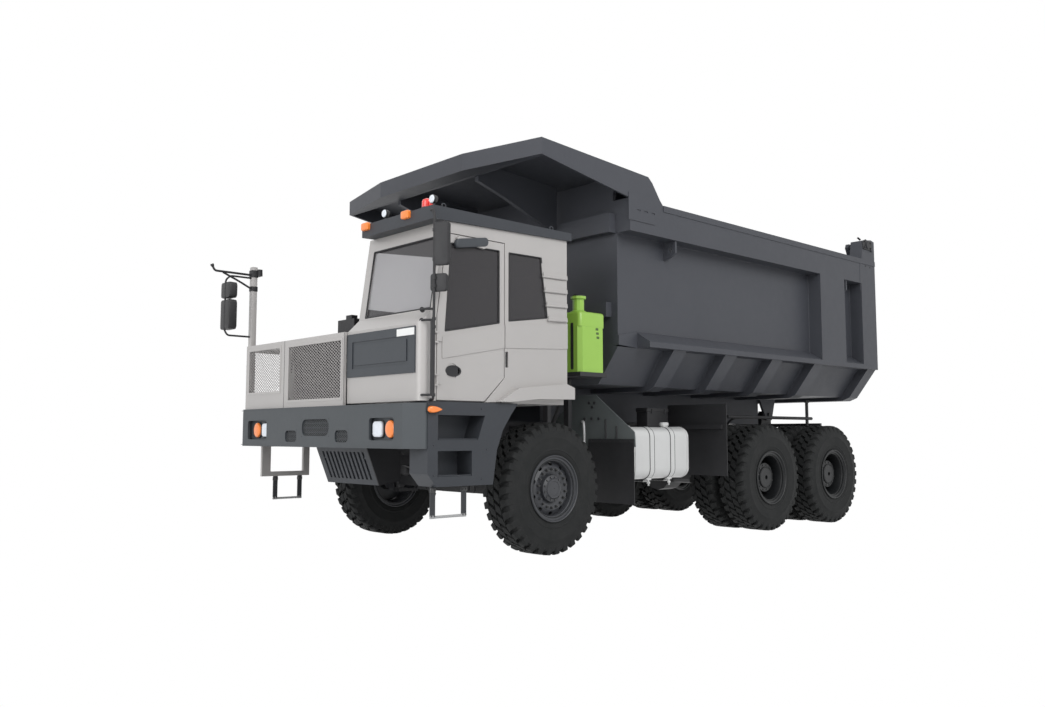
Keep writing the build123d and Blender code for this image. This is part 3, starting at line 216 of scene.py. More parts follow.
def capped(shape, rings):
    """A closed form through rings of points, with a face at each end."""
    skin(shape, rings)
    shape.faces.new(reversed(rings[0]))
    shape.faces.new(rings[-1])


def lathe(shape, outline, middle, steps):
    """Turns an outline of (radius, y) about the line along Y through a middle point."""
    rings = []
    for i in range(steps):
        turn = 2 * math.pi * i / steps
        rings.append([shape.verts.new(at_turn(middle, r, turn, y)) for r, y in outline])
    skin(shape, rings + rings[:1])


tyre_rubber = Finish(bpy.data.materials.new("tyre_rubber"), {"Specular IOR Level": 0.15})
dust = tyre_rubber.cloud(7.0, 5.0).above(0.52, 0.35)
tyre_rubber.feed(
    Base_Color=tyre_rubber.blend(dust * 0.5, (0.023, 0.024, 0.024), (0.034, 0.034, 0.034)),
    Roughness=0.62 + 0.2 * tyre_rubber.cloud(22.0),
)
tyre_rubber.relief(tyre_rubber.cloud(140.0, 3.0), 0.0015, 0.5)

tyre_walls = (
    (0.320, 0.170), (0.322, 0.189), (0.385, 0.189), (0.398, 0.198), (0.430, 0.203), (0.436, 0.209),
    (0.446, 0.209), (0.452, 0.206), (0.520, 0.213), (0.560, 0.2135), (0.566, 0.215), (0.578, 0.215),
    (0.584, 0.211), (0.640, 0.205), (0.690, 0.190), (0.706, 0.160), (0.712, 0.080),
)
pitches = 34
block_bevel = 0.012
# For each block its place in the pitch, then rows of y, foot and top radius, lean and half width
tread_blocks = (
    (0.0, ((0.006, 0.706, 0.7465, -0.036, 0.074), (0.086, 0.704, 0.7465, 0.036, 0.074))),
    (
        0.5,
        (
            (0.097, 0.704, 0.7465, 0.036, 0.074),
            (0.130, 0.702, 0.7462, 0.004, 0.068),
            (0.168, 0.696, 0.7440, -0.012, 0.060),
            (0.190, 0.680, 0.7300, -0.014, 0.058),
            (0.204, 0.640, 0.6600, -0.014, 0.056),
            (0.206, 0.622, 0.6230, -0.014, 0.054),
        ),
    ),
)


def tyre(shape, middle, outward):
    """One tyre: the carcass, then a middle block and a shoulder lug for each pitch and side."""
    outline = tyre_walls + tuple((r, -y) for r, y in reversed(tyre_walls))
    lathe(shape, outline, middle, tyre_steps)
    for side in (1, -1):
        stagger = 0.25 if side < 0 else 0
        for offset, steps in tread_blocks:
            for i in range(pitches):
                start = 2 * math.pi * (i + offset + stagger) / pitches
                rows = []
                for y, low, high, lean, half in steps:
                    turn = start + outward * side * lean
                    top = half - block_bevel
                    corners = ((-half, low), (-top, high), (top, high), (half, low))
                    rows.append([shape.verts.new(at_turn(middle, r, turn + a, side * y)) for a, r in corners])
                for a, b in zip(rows, rows[1:]):
                    for j in range(3):
                        shape.faces.new((a[j], a[j + 1], b[j + 1], b[j]))
                shape.faces.new(rows[0])
                shape.faces.new(reversed(rows[-1]))


axle_z = 0.7465
front_axle_x = 2.43
tyre_steps, disc_steps = 72, 60
rear_axle_xs = (-1.73, -3.49)
front_wheel_y = 1.54
twin_ys = (1.225, 1.725)
wheel_sets = []
for name, side in (("left", 1), ("right", -1)):
    wheel_sets.append((f"front_{name}_wheel", f"front_{name}_tyre", front_axle_x, side, (front_wheel_y,)))
    for row, x in enumerate(rear_axle_xs, start=1):
        wheel_sets.append((f"rear_{name}_wheels_{row}", f"rear_{name}_tyres_{row}", x, side, twin_ys))
for body, node, x, side, places in wheel_sets:
    rubber = bmesh.new()
    for y in places:
        tyre(rubber, (x, side * y, axle_z), side)
    piece(f"{node}_rubber", rubber, tyre_rubber, body, (node,))


# The rims: pressed steel in satin dark grey. The front disc is dished, with ten oval hand
# holes; the rear pair is deep-dished, with a plain disc and one hub between the tyres.
def paint(finish, *nodes, edge=0.0):
    """Puts a finish on CAD pieces, and rounds their sharp edges where an edge is given."""
    for name in nodes:
        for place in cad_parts[name].material_slots:
            place.material = finish.owner
        if edge:
            round_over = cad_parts[name].modifiers.new("edges", "BEVEL")
            round_over.width = edge
            round_over.segments = 2
            round_over.limit_method = "ANGLE"
            round_over.angle_limit = math.radians(35)


def rod(shape, start, end, radius, steps=12, tip=None):
    """A closed round bar between two points; tip is the radius at its far end."""
    start, end = Vector(start), Vector(end)
    turn = (end - start).to_track_quat("Z", "Y").to_matrix()
    rings = []
    for centre, r in ((start, radius), (end, radius if tip is None else tip)):
        ring = []
        for i in range(steps):
            angle = 2 * math.pi * i / steps
            across = Vector((r * math.cos(angle), r * math.sin(angle), 0))
            ring.append(shape.verts.new(centre + turn @ across))
        rings.append(ring)
    capped(shape, rings)


rim_paint = Finish(bpy.data.materials.new("rim_paint"), {"Specular IOR Level": 0.5})
# Painted shade: rims behind x 0 take a far darker grey than the front ones, for the shade they stand in under
# the bed.
front_unshaded = rim_paint.across("x").above(0.0, 0.1)
rim_paint.feed(
    Base_Color=rim_paint.blend(
        front_unshaded * 0.9 + 0.1 * rim_paint.cloud(9.0),
        (0.008, 0.009, 0.010),
        (0.048, 0.050, 0.056),
    ),
    Roughness=0.38 + 0.14 * rim_paint.cloud(30.0),
)
rim_paint.relief(rim_paint.cloud(90.0, 3.0), 0.0008, 0.4)

flange = (
    (0.3195, 0.150), (0.3195, 0.188), (0.345, 0.190), (0.366, 0.190), (0.374, 0.196), (0.376, 0.204),
    (0.373, 0.210), (0.366, 0.212), (0.360, 0.207), (0.357, 0.194), (0.352, 0.184), (0.334, 0.174),
    (0.320, 0.171), (0.312, 0.166), (0.306, 0.150),
)
hand_holes = 10
oval_steps = 20
hole_low, hole_high = 0.252, 0.302
hole_margin = 0.008
hole_half_turn, hole_half_high = 0.10, 0.021
disc_thick = 0.010


def dish(r):
    """Height of the front disc's outer face at a radius, above the wheel's middle."""
    return 0.147 - (r - 0.250) * 0.62


def front_disc(shape, middle, side):
    """The band with the hand holes: each sector runs from its own edge in to an oval."""
    half = math.pi / hand_holes
    for k in range(hand_holes):
        loops = []
        for back in (0, disc_thick):
            outer = []
            inner = []
            for i in range(oval_steps):
                quarter, step = divmod(i, oval_steps // 4)
                share = 4 * step / oval_steps
                corner = ((share, 0), (1, share), (1 - share, 1), (0, 1 - share))[quarter]
                turn = half * (2 * corner[0] - 1)
                r = hole_low - hole_margin + (hole_high - hole_low + 2 * hole_margin) * corner[1]
                outer.append((turn, r))
                angle = math.atan2(corner[1] - 0.5, corner[0] - 0.5)
                rise = hole_half_high * math.sin(angle)
                inner.append((hole_half_turn * math.cos(angle), 0.5 * (hole_low + hole_high) + rise))
            for loop in (outer, inner):
                ring = []
                for turn, r in loop:
                    at = turn + 2 * half * k
                    ring.append(shape.verts.new(at_turn(middle, r, at, side * (dish(r) - back))))
                loops.append(ring)
        front_out, front_in, back_out, back_in = loops
        for i in range(oval_steps):
            j = (i + 1) % oval_steps
            shape.faces.new((front_out[i], front_out[j], front_in[j], front_in[i]))
            shape.faces.new((back_out[j], back_out[i], back_in[i], back_in[j]))
            shape.faces.new((front_in[i], front_in[j], back_in[j], back_in[i]))


flange_pair = flange + tuple((r, -out) for r, out in reversed(flange))
front_hub = (
    (0.062, -0.118), (0.150, -0.118), (0.150, 0.087), (0.190, 0.121), (0.240, 0.135), (0.245, 0.141),
    (0.244, 0.152), (0.190, 0.137), (0.152, 0.119), (0.148, 0.163), (0.122, 0.175), (0.112, 0.185),
    (0.108, 0.197), (0.084, 0.200), (0.080, 0.194), (0.004, 0.196), (0.004, 0.155), (0.062, 0.153),
)
front_step = ((0.302, 0.104), (0.309, 0.112), (0.309, 0.092), (0.302, 0.094))
front_drum = ((0.150, 0.030), (0.298, 0.030), (0.298, 0.016), (0.150, 0.016))
twin_hub = (
    (0.073, -0.352), (0.200, -0.352), (0.210, -0.340), (0.210, -0.016), (0.310, -0.016), (0.310, 0.016),
    (0.225, 0.016), (0.212, 0.026), (0.210, 0.322), (0.202, 0.338), (0.150, 0.340), (0.146, 0.356),
    (0.132, 0.364), (0.030, 0.365), (0.030, 0.284), (0.073, 0.280),
)
for body, node, x, side, places in wheel_sets:
    rim = bmesh.new()
    for y in places:
        lathe(rim, flange_pair, (x, side * y, axle_z), tyre_steps)
    middle = (x, side * sum(places) / len(places), axle_z)
    turnings = (twin_hub,)
    if len(places) == 1:
        front_disc(rim, middle, side)
        turnings = (front_hub, front_step, front_drum)
    for turning in turnings:
        lathe(rim, [(r, side * y) for r, y in turning], middle, disc_steps)
    piece(f"{body}_disc", rim, rim_paint, body, (node.replace("tyre", "rim"),), 28)


def coat(name, tone, rough, relief=None, **flat):
    """An even finish. Tone is (cloud scale, low, high), rough is (cloud scale, least, spread)
    and relief is (cloud scale, detail, depth, strength)."""
    finish = Finish(bpy.data.materials.new(name), {key.replace("_", " "): flat[key] for key in flat})
    scale, low, high = tone
    finish.feed(Base_Color=finish.blend(finish.cloud(scale), low, high))
    scale, least, spread = rough
    finish.feed(Roughness=least + spread * finish.cloud(scale))
    if relief:
        scale, detail, depth, strength = relief
        finish.relief(finish.cloud(scale, detail), depth, strength)
    return finish


nut_steel = coat("nut_steel", (40.0, (0.07, 0.07, 0.072), (0.12, 0.12, 0.12)), (60.0, 0.4, 0.2), Metallic=0.6)
# Face, ring radius and count of the wheel nuts, then face and ring radius of the hub cap's screws
front_fixings = (1.681, 0.216, 18, 1.713, 0.130)
twin_fixings = (1.491, 0.262, 20, 1.813, 0.176)
screw_count = 12
for body, node, x, side, places in wheel_sets:
    nuts = bmesh.new()
    nut_y, nut_ring, nut_count, screw_y, screw_ring = front_fixings if len(places) == 1 else twin_fixings
    for i in range(nut_count):
        spot = Vector(at_turn((x, side * nut_y, axle_z), nut_ring, 2 * math.pi * i / nut_count))
        rod(nuts, spot, spot + Vector((0, side * 0.028, 0)), 0.015, 6)
        rod(nuts, spot, spot + Vector((0, side * 0.042, 0)), 0.008, 8)
    for i in range(screw_count):
        spot = Vector(at_turn((x, side * screw_y, axle_z), screw_ring, 2 * math.pi * (i + 0.5) / screw_count))
        rod(nuts, spot, spot + Vector((0, side * 0.012, 0)), 0.010, 6)
    piece(f"{node}_nuts", nuts, nut_steel, body)


# Running gear and frame: cast and fabricated steel under one coat of satin black, its tone varying a little
# at random, with the brake chambers, dampers, hoses and air tanks of such trucks.
chassis_paint = coat(
    "chassis_paint",
    (5.0, (0.017, 0.017, 0.019), (0.030, 0.030, 0.032)),
    (18.0, 0.45, 0.2),
    (60.0, 3.0, 0.001, 0.4),
    Specular_IOR_Level=0.45,
)
paint(
    chassis_paint,
    "chassis_frame",
    "front_axle",
    "left_knuckle",
    "right_knuckle",
    "suspension",
    "rear_axles",
    "rear_lamp_bar",
    "engine_block",
    "radiator",
    "hoist_barrel",
    "hoist_stage_1",
    "hoist_stage_2",
    "hoist_stage_3",
    edge=0.004,
)


def bent_tube(shape, points, radius, steps=10, bend=4):
    """A tube through points, with each inner corner rounded by a short arc."""
    corners = [Vector(point) for point in points]
    path = [corners[0]]
    for before, corner, after in zip(corners, corners[1:], corners[2:]):
        reach = min((before - corner).length, (after - corner).length) * 0.4
        start = corner + (before - corner).normalized() * reach
        end = corner + (after - corner).normalized() * reach
        for i in range(bend + 1):
            t = i / bend
            path.append(start * (1 - t) ** 2 + corner * 2 * t * (1 - t) + end * t**2)
    path.append(corners[-1])
    side = (path[1] - path[0]).orthogonal().normalized()
    rings = []
    for i, spot in enumerate(path):
        run = (path[min(i + 1, len(path) - 1)] - path[max(i - 1, 0)]).normalized()
        side = (side - run * side.dot(run)).normalized()
        up = run.cross(side)
        rings.append(
            [
                shape.verts.new(spot + radius * (side * math.cos(turn) + up * math.sin(turn)))
                for turn in (2 * math.pi * j / steps for j in range(steps))
            ]
        )
    capped(shape, rings)


def turned_rod(shape, start, end, outline, steps=20):
    """A turned piece between two points; its outline is (share of the way, radius)."""
    start, end = Vector(start), Vector(end)
    for (share, r), (next_share, next_r) in zip(outline, outline[1:]):
        if next_share > share:
            rod(shape, start.lerp(end, share), start.lerp(end, next_share), r, steps, next_r)


axle_fittings = bmesh.new()
chamber = (
    (0, 0.05), (0.06, 0.092), (0.45, 0.100), (0.47, 0.108),
    (0.53, 0.108), (0.55, 0.100), (0.92, 0.088), (1, 0.05),
)
brake_hose = ((0.42, 0.80, 0.90), (0.52, 0.74, 1.05), (0.5, 0.52, 1.16), (0.4, 0.49, 1.2))
pinion = ((0, 0.19), (0.5, 0.16), (0.8, 0.12), (1, 0.05))
cover_bolts, cover_ring = 16, 0.215
for x in rear_axle_xs:
    for side in (1, -1):
        turned_rod(axle_fittings, (x + 0.16, side * 0.86, 0.86), (x + 0.42, side * 0.80, 0.90), chamber)
        bent_tube(axle_fittings, [(x + ahead, side * y, z) for ahead, y, z in brake_hose], 0.013)
    for i in range(cover_bolts):
        turn = 2 * math.pi * i / cover_bolts
        spot = (x - 0.168, cover_ring * math.cos(turn), axle_z + cover_ring * math.sin(turn))
        rod(axle_fittings, spot, (spot[0] - 0.018, spot[1], spot[2]), 0.014, 6)
    turned_rod(axle_fittings, (x - 0.17, 0, axle_z), (x - 0.25, 0, axle_z), pinion, 28)
piece("axle_fittings", axle_fittings, chassis_paint, "truck_frame")

steering = bmesh.new()
damper = ((0, 0.035), (0.5, 0.035), (0.52, 0.024), (1, 0.024))
spring_clamp = ((0.375, 0.66), (0.375, 1.05), (0.485, 1.05), (0.485, 0.66))
for side in (1, -1):
    turned_rod(steering, (2.30, side * 0.70, 0.78), (2.16, side * 0.56, 1.24), damper, 16)
    chamber_end = (front_axle_x + 0.17, side * 0.98, 0.92)
    turned_rod(steering, (front_axle_x, side * 1.0, 0.90), chamber_end, chamber, 18)
    for x in (-0.36, 0.36):
        bolt_x = front_axle_x + x - 0.012
        for z in (0.93, 0.985):
            rod(steering, (bolt_x, side * 0.37, z), (bolt_x, side * 0.49, z), 0.012, 8)
    for x in (2.30, 2.56):
        bent_tube(steering, [(x, side * y, z) for y, z in spring_clamp], 0.014, 8, 3)
piece("front_axle_fittings", steering, chassis_paint, "truck_frame")

hose_rubber = coat(
    "hose_rubber",
    (30.0, (0.014, 0.014, 0.015), (0.026, 0.026, 0.027)),
    (50.0, 0.5, 0.2),
    Specular_IOR_Level=0.4,
)
hoses = bmesh.new()
rail_run = ((1.55, 0, 1.44), (0.9, 0, 1.40), (0.2, -0.08, 1.44), (-1.0, -0.1, 1.38))
for y, drop in ((0.60, 0.0), (0.66, 0.05), (0.72, 0.10)):
    bent_tube(hoses, [(x, y + shift, z - drop) for x, shift, z in rail_run], 0.020)
bent_tube(hoses, ((1.78, 0.20, 0.98), (1.78, 0.62, 0.98), (1.78, 0.95, 1.30), (1.72, 1.30, 2.04)), 0.026)
bent_tube(hoses, ((4.12, -1.30, 1.72), (4.10, -1.36, 2.05), (4.02, -1.44, 2.22), (3.96, -1.46, 2.43)), 0.030)
bent_tube(hoses, ((4.16, -0.50, 2.30), (3.90, -0.62, 2.36), (3.60, -0.50, 2.10), (3.50, -0.36, 1.80)), 0.034)
piece("hoses", hoses, hose_rubber, "truck_frame")
bright_pipe = bmesh.new()
pipe_run = ((1.215, 1.02, 1.52), (1.27, 1.10, 1.52), (1.28, 1.12, 1.40), (1.28, 1.12, 1.12))
bent_tube(bright_pipe, pipe_run, 0.016, 10)
pipe_foot = ((1.26, 1.06, 0.92), (1.26, 1.20, 0.92), (1.26, 1.20, 0.72), (1.26, 1.09, 0.72))
for start, end in zip(pipe_foot, pipe_foot[1:]):
    rod(bright_pipe, start, end, 0.014, 8)
pipe_grey = coat("pipe_grey", (20.0, (0.42, 0.42, 0.42), (0.56, 0.56, 0.56)), (40.0, 0.4, 0.1), Metallic=0.3)
piece("air_pipe", bright_pipe, pipe_grey, "truck_frame")

valves = bmesh.new()
valve_low = 1.44
valve_form = ((0, 0.03), (0.2, 0.055), (0.7, 0.055), (0.75, 0.035), (1, 0.035))
canister_form = ((0, 0.03), (0.15, 0.045), (0.6, 0.045), (0.65, 0.028), (1, 0.028))
air_tank_form = ((0, 0.06), (0.05, 0.115), (0.12, 0.135), (0.88, 0.135), (0.95, 0.115), (1, 0.06))
bar_bracket = ((0.475, 1.36), (0.56, 1.50), (0.70, 1.62), (1.18, 1.62))
for x, y, high in ((-1.02, 0.62, 0.20), (-1.14, 0.70, 0.26), (-1.28, 0.60, 0.18), (0.42, 0.62, 0.22)):
    turned_rod(valves, (x, y, valve_low), (x, y, valve_low + high * 0.8), valve_form, 16)
for side in (1, -1):
    turned_rod(valves, (0.95, side * 0.70, 1.38), (0.35, side * 0.70, 1.38), air_tank_form, 28)
    rod(valves, (0.65, side * 0.47, 1.40), (0.65, side * 0.60, 1.40), 0.03, 8)
for i, x in enumerate((-2.22, -2.36, -2.50, -2.64, -2.78)):
    high = 0.24 + 0.03 * (i % 2)
    turned_rod(valves, (x, 0.425, valve_low), (x, 0.425, valve_low + high), canister_form, 14)
for side in (1, -1):
    for low, high in (((-1.75, 1.18, 1.62), (-4.16, 1.18, 1.62)), ((-4.02, 1.18, 1.50), (-4.02, 1.18, 1.90))):
        rod(valves, (low[0], side * low[1], low[2]), (high[0], side * high[1], high[2]), 0.026, 10)
    for x in (-2.61, -1.80):
        bent_tube(valves, [(x, side * y, z) for y, z in bar_bracket], 0.018, 10)
    for x in (-4.05, -3.99):
        rod(valves, (x, side * 1.18, 1.88), (x, side * 1.18, 1.92), 0.028, 10)
piece("air_tanks", valves, chassis_paint, "truck_frame")


# Bumper, step skirts, roof plate and guard: folded plate in satin slate paint, with rounded
# punched openings, fine mesh behind the vents and anti-slip treads in the steps.
slate_paint = coat(
    "slate_paint",
    (3.0, (0.053, 0.060, 0.066), (0.063, 0.071, 0.078)),
    (14.0, 0.42, 0.12),
    (240.0, 2.0, 0.0004, 0.35),
    Specular_IOR_Level=0.45,
)
paint(slate_paint, "front_bumper", edge=0.005)

dark_slate = Finish(bpy.data.materials.new("dark_slate"), {"Specular IOR Level": 0.3})
guard_side = dark_slate.across("y").above(0.5215, 0.001) * (1 - dark_slate.across("z").above(1.25, 0.01))
dark_slate.feed(
    Base_Color=dark_slate.blend(
        guard_side * (1 - dark_slate.across("y").above(0.6, 0.001)),
        dark_slate.blend(dark_slate.cloud(3.0), (0.042, 0.046, 0.053), (0.051, 0.055, 0.063)),
        (0.014, 0.014, 0.016),
    ),
    Roughness=0.42 + 0.12 * dark_slate.cloud(14.0),
)
dark_slate.relief(dark_slate.cloud(240.0, 2.0), 0.0004, 0.35)
paint(dark_slate, "left_skirt", "roof_plate", "radiator_guard", edge=0.005)


def facing_front(x):
    """Places (y, z, height) on an upright plane that faces forward."""
    return lambda a, b, h: (x + h, a, b)


def facing_back(x):
    """Places (y, z, height) on an upright plane that faces backward."""
    return lambda a, b, h: (x - h, a, b)


def facing_left(y, side=1):
    """Places (x, z, height) on an upright plane that faces left, or right where side is -1."""
    return lambda a, b, h: (a, y + side * h, b)


def facing_up(z):
    """Places (x, y, height) on a level plane."""
    return lambda a, b, h: (a, b, z + h)


def rounded(wide, high, radius, steps=5):
    """A rectangle's outline with round corners, about its middle."""
    points = []
    for corner, (a, b) in enumerate(((1, 1), (-1, 1), (-1, -1), (1, -1))):
        for i in range(steps + 1):
            turn = math.pi / 2 * (corner + i / steps)
            middle = (a * (wide / 2 - radius), b * (high / 2 - radius))
            points.append((middle[0] + radius * math.cos(turn), middle[1] + radius * math.sin(turn)))
    return points


def ellipse(reach_a, reach_b, steps):
    """An oval's outline, about its middle."""
    turns = [2 * math.pi * i / steps for i in range(steps)]
    return [(reach_a * math.cos(turn), reach_b * math.sin(turn)) for turn in turns]


def raised(shape, put, middle, outline, steps):
    """A boss or lens: the outline drawn in by each inset and lifted to each height."""
    rings = []
    reach = max(max(abs(a), abs(b)) for a, b in outline)
    for inset, height in steps:
        scale = 1 - inset / reach
        spots = [put(middle[0] + a * scale, middle[1] + b * scale, height) for a, b in outline]
        rings.append([shape.verts.new(spot) for spot in spots])
    capped(shape, rings)


def surround(shape, put, middle, hole, wide, high, depth):
    """A plate with one hole: from a rectangle in to the hole's outline, and back into depth."""
    rings = []
    for height in (0, -depth):
        outer = []
        for a, b in hole:
            stretch = min(wide / 2 / max(abs(a), 1e-6), high / 2 / max(abs(b), 1e-6))
            outer.append((a * stretch, b * stretch))
        for loop in (outer, hole):
            rings.append([shape.verts.new(put(middle[0] + a, middle[1] + b, height)) for a, b in loop])
    count = len(hole)
    for i in range(count):
        j = (i + 1) % count
        shape.faces.new((rings[0][i], rings[0][j], rings[1][j], rings[1][i]))
        shape.faces.new((rings[1][i], rings[1][j], rings[3][j], rings[3][i]))


def woven(shape, put, low, high, pitch, wire):
    """Diamond mesh in a rectangle: two layers of wires, one leaning each way."""
    lean = 0.62
    wide, tall = high[0] - low[0], high[1] - low[1]
    for layer, way in ((0, 1), (1, -1)):
        count = int((wide + tall / lean) / pitch)
        for i in range(1, count):
            start = i * pitch - (tall / lean if way > 0 else 0)
            ends = [[start, 0.0], [start + way * tall / lean, tall]]
            for end, other in ((0, 1), (1, 0)):
                for edge in (0.0, wide):
                    a, b = ends[end], ends[other]
                    if (a[0] - edge) * (b[0] - edge) < 0 and (a[0] < 0 if edge == 0 else a[0] > wide):
                        share = (edge - a[0]) / (b[0] - a[0])
                        ends[end] = [edge, a[1] + share * (b[1] - a[1])]
            if abs(ends[0][1] - ends[1][1]) > pitch and all(-1e-4 <= end[0] <= wide + 1e-4 for end in ends):
                spots = [put(low[0] + a, low[1] + b, layer * wire) for a, b in ends]
                rod(shape, spots[0], spots[1], wire, 4)


bumper_front = 4.487
# Each opening: y, z, width, height and corner radius
vents = ((0, 1.4325, 0.6, 0.205, 0.075), (0.55, 1.335, 0.28, 0.15, 0.045), (-0.55, 1.335, 0.28, 0.15, 0.045))
lamp_wells = ((1.3075, 1.41, 0.465, 0.25, 0.035), (-1.385, 1.41, 0.51, 0.25, 0.035))
front = facing_front(bumper_front + 0.0006)
edges = bmesh.new()
for y, z, wide, high, radius in vents + lamp_wells:
    hole = rounded(wide - 0.02, high - 0.02, radius)
    surround(edges, front, (y, z), hole, wide + 0.004, high + 0.004, 0.03)
for y0, y1 in ((-1.81, -0.95), (-0.9, -0.36), (0.36, 0.9), (0.95, 1.66)):
    for z in (1.232, 1.652):
        raised(edges, front, ((y0 + y1) / 2, z), rounded(y1 - y0, 0.006, 0.002, 2), ((0, 0), (0.001, 0.0012)))
piece("bumper_openings", edges, slate_paint, "truck_frame")

vent_wire_and_shade = Finish(bpy.data.materials.new("vent_wire_and_shade"))
# The wires in front take a mid grey; the near-black sheet behind them is painted shade for the vents' dark
# inside.
wires = vent_wire_and_shade.across("x").above(4.4525, 0.0005)
vent_wire_and_shade.feed(
    Base_Color=vent_wire_and_shade.blend(
        wires * 0.8 + 0.2 * vent_wire_and_shade.cloud(30.0),
        (0.010, 0.011, 0.012),
        (0.110, 0.116, 0.122),
    ),
    Roughness=0.5 + 0.2 * vent_wire_and_shade.cloud(40.0),
)
vent_wires_and_shade_sheet = bmesh.new()
for y, z, wide, high, radius in vents:
    behind = facing_front(bumper_front - 0.024)
    woven(vent_wires_and_shade_sheet, behind, (y - wide / 2, z - high / 2), (y + wide / 2, z + high / 2), 0.042, 0.0036)
    # Behind each vent's wires a near-black sheet: painted shade, not a part of the truck.
    shade_sheet = rounded(wide, high, 0.01, 2)
    raised(vent_wires_and_shade_sheet, facing_front(bumper_front - 0.0385), (y, z), shade_sheet, ((0, 0), (0.002, 0.002)))
piece("vent_wires_and_shade_sheet", vent_wires_and_shade_sheet, vent_wire_and_shade, "truck_frame")

treads = bmesh.new()
tread_pitch = 0.035
bolt_outline = rounded(0.022, 0.022, 0.0108, 3)
for low_x, high_x, z in ((3.68, 4.18, 1.300), (3.76, 4.18, 0.935)):
    for i in range(int((high_x - low_x) / tread_pitch)):
        x = low_x + 0.02 + i * tread_pitch
        for y in (1.66, 1.70, 1.74, 1.78, 1.82):
            rod(treads, (x, y, z), (x, y, z + 0.008), 0.008, 8, 0.005)
    for y in (1.648, 1.858):
        rod(treads, (low_x, y, z + 0.006), (high_x, y, z + 0.006), 0.008, 8)
for x, z in ((4.24, 1.60), (4.24, 1.25), (4.24, 0.95), (3.62, 1.62), (3.55, 1.20), (3.62, 0.90)):
    raised(treads, facing_left(1.870), (x, z), bolt_outline, ((0, 0), (0.002, 0.006), (0.006, 0.008)))
piece("skirt_treads", treads, dark_slate, "truck_frame")


# Lamps: domed headlamps and oval orange indicators sunk in the bumper, a side marker on the
# skirt, and on the roof two round work lamps, two orange markers and a red beacon.
def lamp_colour(name, low, high, glow):
    """A moulded lens in one colour, clear-coated, with a faint glow of its own."""
    flat = {"Coat_Weight": 0.6, "Coat_Roughness": 0.04, "Emission_Strength": glow}
    finish = coat(name, (60.0, low, high), (90.0, 0.16, 0.1), **flat)
    finish.feed(Emission_Color=finish.blend(finish.cloud(60.0), low, high))
    return finish


lamp_white = lamp_colour("lamp_white", (0.62, 0.66, 0.72), (0.80, 0.83, 0.87), 0.10)
lamp_orange = lamp_colour("lamp_orange", (0.86, 0.20, 0.030), (0.95, 0.27, 0.045), 0.10)
lamp_red = lamp_colour("lamp_red", (0.75, 0.020, 0.015), (0.85, 0.035, 0.025), 0.12)
lamp_black = coat(
    "lamp_black",
    (20.0, (0.015, 0.015, 0.016), (0.025, 0.025, 0.026)),
    (60.0, 0.4, 0.1),
    Specular_IOR_Level=0.5,
)
lens_steps = ((0, -0.044), (0, -0.020), (0.006, -0.010), (0.020, -0.004), (0.045, -0.001), (0.068, 0))
lens_front = facing_front(bumper_front - 0.012)
lamp_z = 1.41
heads = bmesh.new()
ovals = bmesh.new()
bezels = bmesh.new()
for y, turn_y in ((1.20, 1.425), (-1.225, -1.44)):
    raised(heads, lens_front, (y, lamp_z), rounded(0.170, 0.165, 0.040), lens_steps)
    oval = ellipse(0.082, 0.090, 28)
    raised(ovals, lens_front, (turn_y, lamp_z), oval, lens_steps)
    oval_rim = [(1.13 * a, 1.1 * b) for a, b in oval]
    for middle, outline in ((y, rounded(0.19, 0.185, 0.048)), (turn_y, oval_rim)):
        raised(bezels, lens_front, (middle, lamp_z), outline, ((0, -0.046), (0, -0.034), (0.006, -0.030)))
marker = facing_left(1.872)
drop = [(a, b * (0.66 + 0.34 * a / 0.082)) for a, b in ellipse(0.082, 0.046, 28)]
marker_spot = (4.250, 1.603)
drop_rim = [(1.13 * a, 1.2 * b) for a, b in drop]
raised(ovals, marker, marker_spot, drop, ((0, 0), (0, 0.03), (0.006, 0.044), (0.02, 0.05)))
raised(bezels, marker, marker_spot, drop_rim, ((0, -0.001), (0, 0.008), (0.004, 0.012)))
piece("headlamps", heads, lamp_white, "truck_frame", ("front_lamps",), sharp=24)
piece("indicators", ovals, lamp_orange, "truck_frame", sharp=24)
piece("lamp_bezels", bezels, lamp_black, "truck_frame")

roof_top = 3.670
work_lamp_z = 3.74
cup_form = ((0, 0.012), (0.2, 0.038), (0.6, 0.044), (1, 0.045))
dome_form = ((0, 0.042), (0.5, 0.038), (0.8, 0.028), (1, 0.012))
cups = bmesh.new()
lenses = bmesh.new()
for y in (0.98, 1.83):
    turned_rod(cups, (4.196, y, work_lamp_z), (4.262, y, work_lamp_z), cup_form, 28)
    rod(cups, (4.235, y, roof_top), (4.235, y, 3.70), 0.012, 10)
    for side in (1, -1):
        rod(cups, (4.235, y + side * 0.035, 3.70), (4.235, y + side * 0.047, 3.735), 0.005, 6)
    turned_rod(lenses, (4.262, y, work_lamp_z), (4.274, y, work_lamp_z), dome_form, 28)
piece("work_lamp_cups", cups, lamp_black, "truck_frame")
piece("work_lamp_lenses", lenses, lamp_white, "truck_frame", ("roof_lamps",), sharp=24)
markers = bmesh.new()
for y in (0.674, 1.427):
    steps = ((0, 0), (0, 0.030), (0.008, 0.040), (0.02, 0.044))
    raised(markers, facing_front(4.280), (y, 3.640), rounded(0.13, 0.085, 0.018), steps)
piece("roof_markers", markers, lamp_orange, "truck_frame", sharp=24)
beacon = bmesh.new()
beacon_x, beacon_y = 4.19, 1.66
beacon_form = ((0, 0.058), (0.7, 0.056), (0.88, 0.046), (1, 0.022))
turned_rod(beacon, (beacon_x, beacon_y, 3.690), (beacon_x, beacon_y, 3.785), beacon_form, 32)
piece("beacon", beacon, lamp_red, "truck_frame", sharp=24)
beacon_base = bmesh.new()
base_form = ((0, 0.066), (0.5, 0.066), (1, 0.060))
turned_rod(beacon_base, (beacon_x, beacon_y, 3.668), (beacon_x, beacon_y, 3.692), base_form, 32)
piece("beacon_base", beacon_base, lamp_black, "truck_frame")

